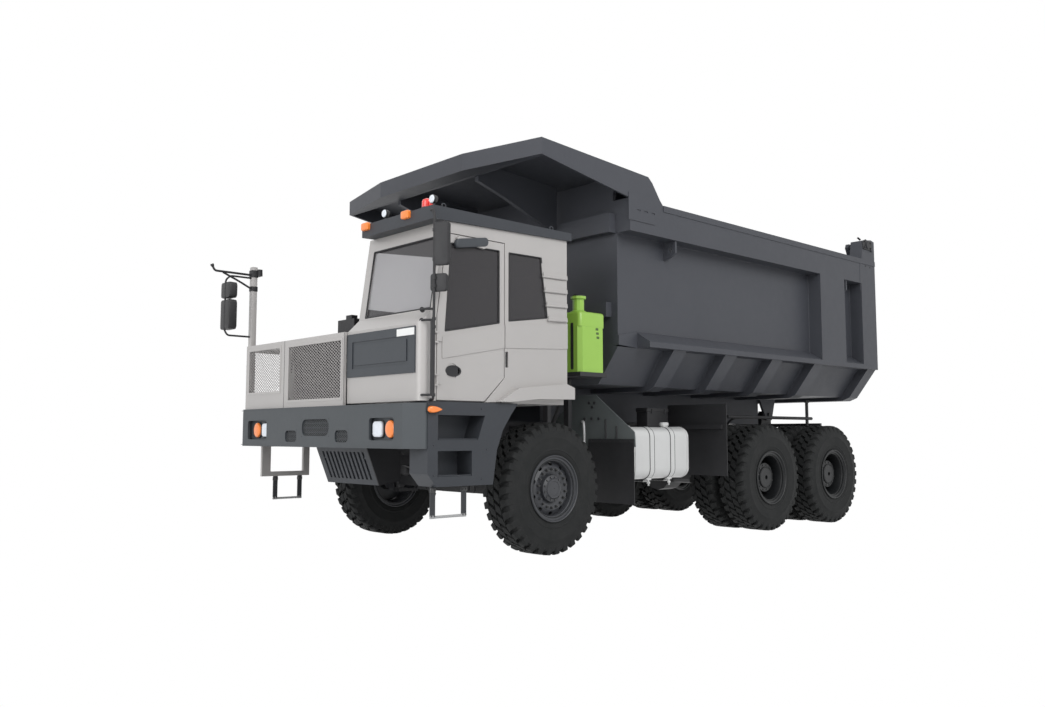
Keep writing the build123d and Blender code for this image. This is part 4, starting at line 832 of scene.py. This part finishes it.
tail_red = bmesh.new()
tail_orange = bmesh.new()
back = facing_back(-4.130)
tail_outline = rounded(0.085, 0.08, 0.015)
steps = ((0, 0), (0, 0.014), (0.008, 0.022))
for side in (1, -1):
    raised(tail_red, back, (side * 1.235, 1.49), tail_outline, steps)
    raised(tail_orange, back, (side * 1.330, 1.49), tail_outline, steps)
piece("tail_lamps_red", tail_red, lamp_red, "truck_frame", sharp=24)
piece("tail_lamps_orange", tail_orange, lamp_orange, "truck_frame", sharp=24)


# Cab and deck: sheet steel in gloss light warm grey, with dark rubber
# round the glass, shut lines and a small recessed handle.
cab_paint = coat(
    "cab_paint",
    (2.0, (0.432, 0.414, 0.400), (0.468, 0.448, 0.434)),
    (12.0, 0.34, 0.1),
    (260.0, 2.0, 0.0003, 0.3),
    Coat_Roughness=0.08,
)
cab_paint.feed(Coat_Weight=0.20 + 0.1 * cab_paint.cloud(4.0))
paint(
    cab_paint,
    "cab_front",
    "cab_left_side",
    "cab_shell",
    "cab_roof",
    "driver_door",
    "deck_front_frame",
    "deck_right_side",
    "deck_plate",
    "right_skirt",
    edge=0.005,
)

black_plastic = coat(
    "black_plastic",
    (10.0, (0.016, 0.016, 0.018), (0.024, 0.024, 0.026)),
    (80.0, 0.45, 0.15),
    (420.0, 2.0, 0.0004, 0.4),
    Specular_IOR_Level=0.4,
)
paint(black_plastic, "dashboard", "driver_seat", "mudflaps", edge=0.006)

plate_paint = coat(
    "plate_paint",
    (6.0, (0.046, 0.052, 0.060), (0.056, 0.062, 0.070)),
    (30.0, 0.42, 0.12),
    Specular_IOR_Level=0.4,
)
paint(plate_paint, "cab_front_plate", edge=0.003)


def bead_ring(shape, ring, radius, steps):
    """A round bead along a closed ring of points."""
    for start, end in zip(ring, ring[1:] + ring[:1]):
        rod(shape, start, end, radius, steps)


def bead(shape, put, corners, radius=0.007, height=0.0):
    """A rubber bead that runs round an opening."""
    bead_ring(shape, [put(a, b, height) for a, b in corners], radius, 8)


window_rubber = bmesh.new()
left_face = facing_left(1.850)
bead(window_rubber, left_face, ((3.225, 3.321), (2.740, 3.328), (2.649, 2.658), (3.225, 2.575)))
bead(window_rubber, facing_left(0.500), ((3.980, 3.321), (2.700, 3.321), (2.640, 2.640), (4.060, 2.640)))
bead(window_rubber, facing_back(2.330), ((0.80, 2.70), (1.55, 2.70), (1.55, 3.25), (0.80, 3.25)))


def screen(a, b, h):
    """Places (y, z, height) on the raked windscreen."""
    return (4.250 - (b - 2.610) / 7.0 + h, a, b)


bead(window_rubber, screen, ((0.62, 2.630), (1.80, 2.630), (1.80, 3.380), (0.62, 3.380)), 0.009, -0.004)
piece("window_rubber", window_rubber, black_plastic, "truck_frame")

door_trim = bmesh.new()
bead(door_trim, left_face, ((4.025, 3.316), (3.368, 3.322), (3.366, 2.542), (4.095, 2.401)))
oval = ellipse(0.103, 0.058, 32)
steps = ((0, -0.006), (0, 0.002), (0.006, 0.004), (0.012, 0.001), (0.020, 0.0))
raised(door_trim, left_face, (3.985, 2.0), oval, steps)
piece("door_trim", door_trim, black_plastic, "driver_door")
deflector = bmesh.new()
capsule = [(a, b - a * 0.17) for a, b in rounded(0.44, 0.096, 0.046, 6)]
steps = ((-0.004, 0), (-0.004, 0.026), (0.006, 0.036), (0.02, 0.040))
raised(deflector, left_face, (3.765, 3.352), capsule, steps)
piece("door_deflector", deflector, plate_paint, "driver_door", sharp=24)

cab_trim = bmesh.new()
handle = rounded(0.036, 0.168, 0.012)
raised(cab_trim, facing_left(1.8265), (3.255, 2.155), handle, ((0, 0), (0.002, 0.004)))
rod(cab_trim, (3.255, 1.838, 2.095), (3.255, 1.838, 2.215), 0.007, 10)
piece("cab_trim", cab_trim, black_plastic, "truck_frame")
lips = bmesh.new()
for z in (2.630, 2.792, 2.954, 3.116):
    lift = (z - 2.630) / 6
    run = ((2.345, 1.868, z + 0.012), (2.50, 1.874, z + 0.006), (2.655 + lift, 1.868, z + 0.001))
    bent_tube(lips, run, 0.011, 8)
piece("louvre_lips", lips, cab_paint, "truck_frame")

blank_plate = coat(
    "blank_plate",
    (25.0, (0.84, 0.84, 0.82), (0.90, 0.90, 0.88)),
    (40.0, 0.35, 0.1),
    Coat_Weight=0.2,
)
blank = bmesh.new()
raised(blank, facing_front(4.408), (1.604, 2.387), rounded(0.30, 0.074, 0.004, 2), ((0, 0), (0.0008, 0.004)))
piece("blank_plate", blank, blank_plate, "truck_frame")

glass = Finish(
    bpy.data.materials.new("tinted_glass"),
    {"Transmission Weight": 0.45, "IOR": 1.25, "Coat Roughness": 0.02},
)
# Painted light on the windscreen: its pale grey is a painted reflection, and the darker wedges under the roof
# and over the dash are painted shade of the cab's inside.
ahead = glass.across("x").above(4.08, 0.02)
roof_shade_wedge = (glass.across("z") + 0.195 * glass.across("y")).above(3.50, 0.006)
dash_shade_wedge = 1 - (glass.across("z") + 0.164 * glass.across("y")).above(2.833, 0.006)
glass.feed(
    Base_Color=glass.blend(
        ahead,
        (0.080, 0.076, 0.080),
        glass.blend((roof_shade_wedge + dash_shade_wedge).clamped(), (0.58, 0.57, 0.58), (0.12, 0.115, 0.12)),
    ),
    Roughness=0.05 + 0.03 * glass.cloud(5.0),
    Coat_Weight=0.15 + 0.1 * glass.cloud(3.0),
)
paint(glass, "cab_glass", "driver_door_glass")


# Grilles: fine expanded-metal mesh in each deck opening, framed by a flat strip, with the
# cooler's finned core behind the large one.
mesh_paint = coat("mesh_paint", (20.0, (0.33, 0.312, 0.305), (0.41, 0.39, 0.38)), (40.0, 0.5, 0.2))
grille_openings = ((-0.730, 0.430, 1.760, 2.390), (-1.740, -0.950, 1.880, 2.400))
strip_wide = 0.03
grille_mesh = bmesh.new()
grille_front = facing_front(4.423)
for y0, y1, z0, z1 in grille_openings:
    woven(grille_mesh, grille_front, (y0 - 0.004, z0 - 0.004), (y1 + 0.004, z1 + 0.004), 0.058, 0.0050)
piece("grille_wire", grille_mesh, mesh_paint, "truck_frame", ("grille_mesh",))
core = bmesh.new()
behind_grille = facing_front(4.330)
core_y = -0.15
core_block = rounded(1.26, 0.72, 0.02, 2)
raised(core, behind_grille, (core_y, 2.075), core_block, ((0, -0.03), (0, 0), (0.004, 0.003)))
fin_count, fin_pitch = 30, 0.0235
fin = rounded(1.22, 0.008, 0.002, 1)
for i in range(fin_count):
    raised(core, behind_grille, (core_y, 1.735 + fin_pitch * i), fin, ((0, 0.002), (0.001, 0.014)))
piece("cooler_core", core, lamp_black, "truck_frame")

deck_trim = bmesh.new()
frame_front = facing_front(4.4302)
for y0, y1, z0, z1 in grille_openings:
    low, high = z0 - strip_wide, z1 + strip_wide
    left, right = y1 + strip_wide, y0 - strip_wide
    sides = ((y0, y1, low, z0), (y0, y1, z1, high), (right, y0, low, high), (y1, left, low, high))
    for a0, a1, b0, b1 in sides:
        middle = ((a0 + a1) / 2, (b0 + b1) / 2)
        strip = rounded(a1 - a0, b1 - b0, 0.003, 1)
        raised(deck_trim, frame_front, middle, strip, ((0, -0.001), (0, 0.004), (0.001, 0.005)))
piece("grille_strips", deck_trim, cab_paint, "truck_frame")
shut_lines = bmesh.new()
for y in (-0.84, 0.49):
    rod(shut_lines, (4.4295, y, 1.675), (4.4295, y, 2.470), 0.0035, 6)
piece("deck_shut_lines", shut_lines, lamp_black, "truck_frame")


# Mirrors: moulded black heads on bent tubes; the right pair hangs ahead of the deck from a
# square post in the cab's grey, with a feeler arm that shows where the corner is.
mirror_y = -1.785
mirror_post_x = 4.385
mirror_spans = ((3.07, 3.27), (2.67, 3.05))
post = bmesh.new()
for low, high, wide in ((2.476, 3.500, 0.074), (3.500, 3.504, 0.066)):
    square = rounded(wide, wide, 0.006, 2)
    raised(post, facing_up(low), (mirror_post_x, mirror_y), square, ((0, 0), (0, high - low)))
piece("mirror_post", post, cab_paint, "truck_frame", ("right_mirrors",))
arms = bmesh.new()
for radius, run in (
    (0.014, ((4.40, 3.400), (4.74, 3.402), (4.910, 3.402), (4.945, 3.470))),
    (0.013, ((4.40, 3.215), (4.60, 3.31), (4.80, 3.392))),
    (0.012, ((4.41, 3.360), (4.70, 3.360), (4.762, 3.30), (4.762, 3.18))),
    (0.012, ((4.41, 2.600), (4.72, 2.600), (4.762, 2.66), (4.762, 2.86))),
):
    bent_tube(arms, [(x, mirror_y, z) for x, z in run], radius, 10)
rod(arms, (4.762, mirror_y, 2.80), (4.762, mirror_y, 3.20), 0.012, 10)
feeler_knob = ((0, 0.016), (0.5, 0.024), (1, 0.020))
turned_rod(arms, (4.935, mirror_y, 3.448), (4.950, mirror_y, 3.482), feeler_knob, 14)
for low, wide, radius, high in ((3.37, 0.090, 0.008, 0.09), (3.19, 0.084, 0.008, 0.06)):
    collar = rounded(wide, wide, radius, 2)
    raised(arms, facing_up(low), (mirror_post_x, mirror_y), collar, ((0, 0), (0, high)))
raised(arms, facing_up(3.39), (4.325, -1.76), rounded(0.06, 0.10, 0.01, 2), ((0, 0), (0.003, 0.085)))
piece("mirror_arms", arms, black_plastic, "truck_frame")
heads = bmesh.new()
for low, high in mirror_spans:
    shell = rounded(0.245, high - low, 0.035)
    steps = ((0.02, -0.105), (0.004, -0.096), (0, -0.020), (0.004, 0.004), (0.03, 0.010))
    raised(heads, facing_front(4.758), (mirror_y, (low + high) / 2), shell, steps)
piece("mirror_heads_right", heads, lamp_black, "truck_frame", sharp=28)

left_arms = bmesh.new()
mast_x, mast_y = 4.298, 1.930
mast_run = (
    (4.275, 1.84, 3.62), (4.300, 1.90, 3.615), (4.300, 1.930, 3.56),
    (4.300, 1.930, 1.72), (4.285, 1.90, 1.70), (4.270, 1.84, 1.70),
)
bent_tube(left_arms, mast_run, 0.014, 12)
for z in (1.745, 2.420, 2.500):
    rod(left_arms, (mast_x, mast_y, z - 0.014), (mast_x, mast_y, z + 0.014), 0.021, 14)
for z in (1.745, 2.490, 2.600):
    bracket = ((4.345, 1.800, z), (4.372, 1.830, z), (4.345, 1.895, z), (mast_x, mast_y, z))
    bent_tube(left_arms, bracket, 0.012, 10)
    rod(left_arms, (4.325, 1.775, z), (4.362, 1.815, z), 0.026, 14)
rod(left_arms, (4.310, 1.916, 1.745), (4.310, 1.916, 2.490), 0.017, 14)
for z in (3.10, 3.40, 2.83, 2.91):
    rod(left_arms, (mast_x, mast_y, z - 0.016), (mast_x, mast_y, z + 0.016), 0.022, 14)
piece("mirror_mast_left", left_arms, black_plastic, "truck_frame", ("left_mirrors",))


def turned_in(near):
    """Places (across, z, height) on the face of a left mirror head, swung in toward the driver."""
    cos, sin = math.cos(math.radians(25)), math.sin(math.radians(25))
    return lambda a, b, h: (4.305 + h * cos - a * sin, near + a * cos + h * sin, b)


left_heads = bmesh.new()
for low, high, wide, near in ((3.035, 3.480, 0.165, 1.925), (2.775, 2.960, 0.180, 1.875)):
    put = turned_in(near)
    outline = rounded(wide, high - low, 0.032)
    steps = ((0.02, -0.055), (0.004, -0.048), (0, -0.018), (0.004, 0.006), (0.03, 0.012))
    raised(left_heads, put, (wide / 2, (low + high) / 2), outline, steps)
piece("mirror_heads_left", left_heads, black_plastic, "truck_frame", sharp=28)

mirror_silver = coat(
    "mirror_silver",
    (8.0, (0.80, 0.81, 0.82), (0.86, 0.87, 0.88)),
    (20.0, 0.03, 0.02),
    Metallic=1.0,
)
mirror_faces = bmesh.new()
for low, high in mirror_spans:
    outline = rounded(0.21, high - low - 0.03, 0.03)
    raised(mirror_faces, facing_back(4.6535), (mirror_y, (low + high) / 2), outline, ((0, 0), (0.002, 0.002)))
piece("mirror_glass", mirror_faces, mirror_silver, "truck_frame")


# Hanging steps and mudguards: rubber straps with a steel rung, held by bolted clamps, and
# folded plate guards whose rubber flaps hang from a bolted strip.
step_finish = Finish(bpy.data.materials.new("step_finish"))
rung = 1.0 - step_finish.across("z").above(0.553, 0.004)
step_finish.feed(
    Base_Color=step_finish.blend(rung, (0.030, 0.032, 0.036), (0.40, 0.40, 0.40)),
    Roughness=0.5 + 0.1 * step_finish.cloud(40.0),
)
paint(step_finish, "hanging_steps", edge=0.003)
straps = bmesh.new()
for y, xs, low in ((1.800, (4.200, 3.800), 0.835), (-1.810, (4.000, 3.650), 0.820)):
    for x in xs:
        for side in (1, -1):
            clamp = facing_left(y + side * 0.008, side)
            raised(straps, clamp, (x, low - 0.035), rounded(0.066, 0.045, 0.004, 2), ((0, 0), (0.002, 0.006)))
            bolts = ((low - 0.035, 0.012, 0.026, 0.009), (0.545, 0.006, 0.018, 0.008))
            for bolt_x in (x - 0.018, x + 0.018):
                for z, near, far, radius in bolts:
                    rod(straps, (bolt_x, y + side * near, z), (bolt_x, y + side * far, z), radius, 6)
piece("step_clamps", straps, nut_steel, "truck_frame")

apron_paint = coat(
    "apron_paint",
    (4.0, (0.100, 0.112, 0.112), (0.125, 0.138, 0.138)),
    (9.0, 0.6, 0.2),
    Specular_IOR_Level=0.3,
)
paint(apron_paint, "front_mudguards", edge=0.003)
strips = bmesh.new()
strip_z = 1.275
for side in (1, -1):
    middle = (side * 1.505, strip_z)
    raised(strips, facing_front(1.217), middle, rounded(0.73, 0.040, 0.003, 1), ((0, 0), (0.001, 0.005)))
    for i in range(5):
        y = side * (1.19 + 0.1575 * i)
        rod(strips, (1.221, y, strip_z), (1.232, y, strip_z), 0.011, 6)
    for y, z in ((1.14, 1.755), (1.23, 1.755), (1.19, 1.70), (1.06, 1.555), (1.18, 1.555), (1.30, 1.555)):
        rod(strips, (1.203, side * y, z), (1.215, side * y, z), 0.018, 8)
    for y, high in ((1.42, 1.55), (1.60, 1.46)):
        rod(strips, (1.206, side * y, 1.31), (1.206, side * y, high), 0.012, 8)
piece("guard_strips", strips, chassis_paint, "truck_frame")


# Fuel tank: drawn sheet in silvery white with rolled end seams, two lined steel straps and
# their tension screws, a filler cap and a sender.
tank_paint = coat(
    "tank_paint",
    (4.0, (0.60, 0.60, 0.59), (0.68, 0.68, 0.67)),
    (20.0, 0.26, 0.1),
    Coat_Roughness=0.1,
)
tank_paint.feed(Metallic=0.25 * tank_paint.cloud(9.0))
tank_y, tank_z = 1.44, 1.125
tank_wide, tank_high = 0.72, 0.65
strap_xs = (0.77, 0.36)
screw_y = 1.735
seam_out = 1.006
section = rounded(tank_wide, tank_high, 0.13, 8)
tank_stations = (
    (-0.010, 0.050), (-0.002, 0.018), (0.020, 0.003), (0.060, 0.0),
    (1.090, 0.0), (1.130, 0.003), (1.152, 0.018), (1.160, 0.050),
)


def tank_ring(x, share_y, share_z):
    """The tank's section at a station, drawn in or out by a share each way."""
    return [(x, tank_y + a * share_y, tank_z + b * share_z) for a, b in section]


tank = bmesh.new()
rings = []
for x, inset in tank_stations:
    spots = tank_ring(x, 1 - inset * 2 / tank_wide, 1 - inset * 2 / tank_high)
    rings.append([tank.verts.new(spot) for spot in spots])
capped(tank, rings)
for x in (0.062, 1.088):
    bead_ring(tank, tank_ring(x, seam_out, seam_out), 0.005, 6)
piece("fuel_tank_shell", tank, tank_paint, "truck_frame", ("fuel_tank",), 30)
tank_trim = bmesh.new()
for x in strap_xs:
    band = []
    for offset, out in ((-0.040, 1.004), (-0.038, 1.014), (0.038, 1.014), (0.040, 1.004)):
        band.append([tank_trim.verts.new(spot) for spot in tank_ring(x + offset, out, out)])
    skin(tank_trim, band)
    rod(tank_trim, (x, screw_y, 0.86), (x, screw_y, 0.715), 0.011, 10)
    rod(tank_trim, (x, screw_y, 0.765), (x, screw_y, 0.742), 0.021, 6)
    rod(tank_trim, (x - 0.045, 1.730, 0.800), (x + 0.045, 1.730, 0.800), 0.017, 10)
    bent_tube(tank_trim, ((x, screw_y, 0.778), (x, 1.66, 0.776), (x, 1.10, 0.776)), 0.014, 8)
cap_form = ((0, 0.048), (0.35, 0.048), (0.4, 0.060), (0.85, 0.060), (1, 0.052))
turned_rod(tank_trim, (0.30, 1.62, 1.445), (0.30, 1.62, 1.512), cap_form, 28)
turned_rod(tank_trim, (0.90, 1.50, 1.447), (0.90, 1.50, 1.470), ((0, 0.04), (0.6, 0.04), (1, 0.02)), 20)
piece("fuel_tank_straps", tank_trim, tank_paint, "truck_frame", sharp=30)
liners = bmesh.new()
for x in strap_xs:
    for offset in (-0.043, 0.043):
        bead_ring(liners, tank_ring(x + offset, seam_out, seam_out), 0.0045, 6)
piece("strap_liners", liners, hose_rubber, "truck_frame")
battery_box = bmesh.new()
lid = ((0, 0), (0, 0.20), (-0.012, 0.205), (-0.012, 0.245), (0, 0.255))
raised(battery_box, facing_up(1.46), (-0.10, 1.10), rounded(0.44, 0.20, 0.015, 3), lid)
for x in (-0.24, 0.04):
    rod(battery_box, (x, 1.205, 1.64), (x, 1.212, 1.70), 0.012, 8)
    rod(battery_box, (x, 0.49, 1.38), (x, 1.02, 1.47), 0.028, 8)
piece("battery_box", battery_box, chassis_paint, "truck_frame")
cradle = bmesh.new()
for x in strap_xs:
    for a0, a1, b0, b1 in ((0.48, 1.09, 1.20, 1.30), (1.03, 1.075, 0.79, 1.46), (1.04, 1.66, 0.765, 0.795)):
        middle = ((a0 + a1) / 2, (b0 + b1) / 2)
        beam = rounded(a1 - a0, b1 - b0, 0.006, 2)
        raised(cradle, facing_front(x - 0.03), middle, beam, ((0, 0), (0, 0.06)))
piece("fuel_tank_cradle", cradle, chassis_paint, "truck_frame")


# Hydraulic oil tank: welded plate in lime green, with a filler neck, sight marks and a
# dark slot down its front.
lime_paint = coat(
    "lime_paint",
    (3.0, (0.30, 0.53, 0.072), (0.33, 0.57, 0.085)),
    (16.0, 0.33, 0.1),
    Coat_Roughness=0.08,
)
lime_paint.feed(Coat_Weight=0.2 + 0.1 * lime_paint.cloud(5.0))
paint(lime_paint, "hydraulic_tank", edge=0.012)
tank_top = bmesh.new()
crown = ((0.002, 0), (-0.002, 0.004), (-0.002, 0.150), (0.004, 0.168), (0.018, 0.180), (0.05, 0.184))
raised(tank_top, facing_up(2.630), (1.790, 1.450), rounded(0.44, 0.60, 0.05, 6), crown)
turned_rod(tank_top, (1.90, 1.62, 2.806), (1.90, 1.62, 2.830), ((0, 0.095), (0.6, 0.095), (1, 0.075)), 32)
piece("oil_tank_top", tank_top, lime_paint, "truck_frame", sharp=34)
tank_marks = bmesh.new()
for x, z in ((1.724, 2.655), (1.716, 2.610), (1.708, 2.560), (1.700, 2.510)):
    mark = rounded(0.050, 0.030, 0.008, 3)
    raised(tank_marks, facing_left(1.7502), (x, z), mark, ((0, 0), (0.002, 0.0012), (0.006, 0.0004)))
dark_lime = coat("dark_lime", (9.0, (0.055, 0.105, 0.020), (0.075, 0.135, 0.028)), (30.0, 0.4, 0.1))
piece("oil_tank_marks", tank_marks, dark_lime, "truck_frame")
tank_dark = bmesh.new()
slot = rounded(0.045, 0.56, 0.012, 3)
raised(tank_dark, facing_front(2.0095), (1.62, 2.40), slot, ((0, 0), (0.002, 0.003)))
turned_rod(tank_dark, (1.90, 1.62, 3.0), (1.90, 1.62, 3.022), ((0, 0.085), (0.6, 0.085), (1, 0.07)), 28)
for x, y in ((1.64, 1.22), (1.94, 1.22), (1.64, 1.68), (1.94, 1.68)):
    rod(tank_dark, (x, y, 2.072), (x, y, 2.092), 0.018, 6)
rod(tank_dark, (1.64, 1.32, 2.81), (1.64, 1.32, 2.85), 0.03, 16)
piece("oil_tank_fittings", tank_dark, black_plastic, "truck_frame")


# The bed: thick wear plate, welded and painted satin charcoal, with weld beads along its
# seams, pins and keeper plates at the gate's ears and slots in the canopy's lap.
bed_paint = coat(
    "bed_paint",
    (1.6, (0.053, 0.056, 0.066), (0.064, 0.067, 0.078)),
    (9.0, 0.42, 0.14),
    (150.0, 2.0, 0.0005, 0.35),
    Specular_IOR_Level=0.35,
)
for name in ("canopy", "floor", "front_wall", "left_side", "right_side"):
    paint(bed_paint, f"bed_{name}", edge=0.006)
paint(bed_paint, "tailgate", edge=0.006)

panel_y = 1.762
welds = bmesh.new()
for side in (1, -1):
    for x in (-3.90, -3.15, -4.47):
        rod(welds, (x, side * panel_y, 2.58), (x, side * panel_y, 3.84), 0.008, 8)
    rod(welds, (-4.45, side * panel_y, 3.838), (1.35, side * panel_y, 3.838), 0.008, 8)
    rod(welds, (-4.45, side * panel_y, 2.632), (1.00, side * panel_y, 2.632), 0.008, 8)
    for x in (0.330, -0.790, -1.950, -3.120):
        for edge in (-0.135, 0.135):
            rod(welds, (x + edge, side * 1.74, 2.40), (x + edge, side * 1.44, 1.985), 0.007, 8)
    for x in (0.430, -4.000):
        rod(welds, (x - 0.016, side * 1.765, 3.61), (x - 0.016, side * 1.95, 3.838), 0.006, 8)
    rod(welds, (-4.43, side * 1.9765, 3.72), (-4.43, side * 1.9765, 4.165), 0.0045, 6)
piece("bed_welds", welds, bed_paint, "bed")

bed_half_y = 1.976
gate_pin_x, gate_pin_z = -4.69, 4.50
ear_steel = bmesh.new()
for side in (1, -1):
    keeper = rounded(0.30, 0.15, 0.03)
    keeper_face = facing_left(side * bed_half_y, side)
    raised(ear_steel, keeper_face, (-4.70, gate_pin_z), keeper, ((0, 0), (0, 0.012), (0.004, 0.016)))
    rod(ear_steel, (gate_pin_x, side * 1.985, gate_pin_z), (gate_pin_x, side * 2.008, gate_pin_z), 0.052, 24)
    for x, z in ((-4.80, 4.55), (-4.60, 4.46), (-4.60, 4.55), (-4.80, 4.46)):
        rod(ear_steel, (x, side * 1.99, z), (x, side * 2.005, z), 0.013, 6)
    for x, z in ((-4.63, 4.146), (-4.78, 4.140)):
        rod(ear_steel, (x, side * 1.972, z), (x, side * 1.979, z), 0.016, 12)
    for x0, x1 in ((-4.90, -4.80), (-4.62, -4.55)):
        rod(ear_steel, (x0, side * 1.90, 4.60), (x1, side * 1.90, 4.62), 0.016, 10)
piece("ear_hardware", ear_steel, chassis_paint, "bed")
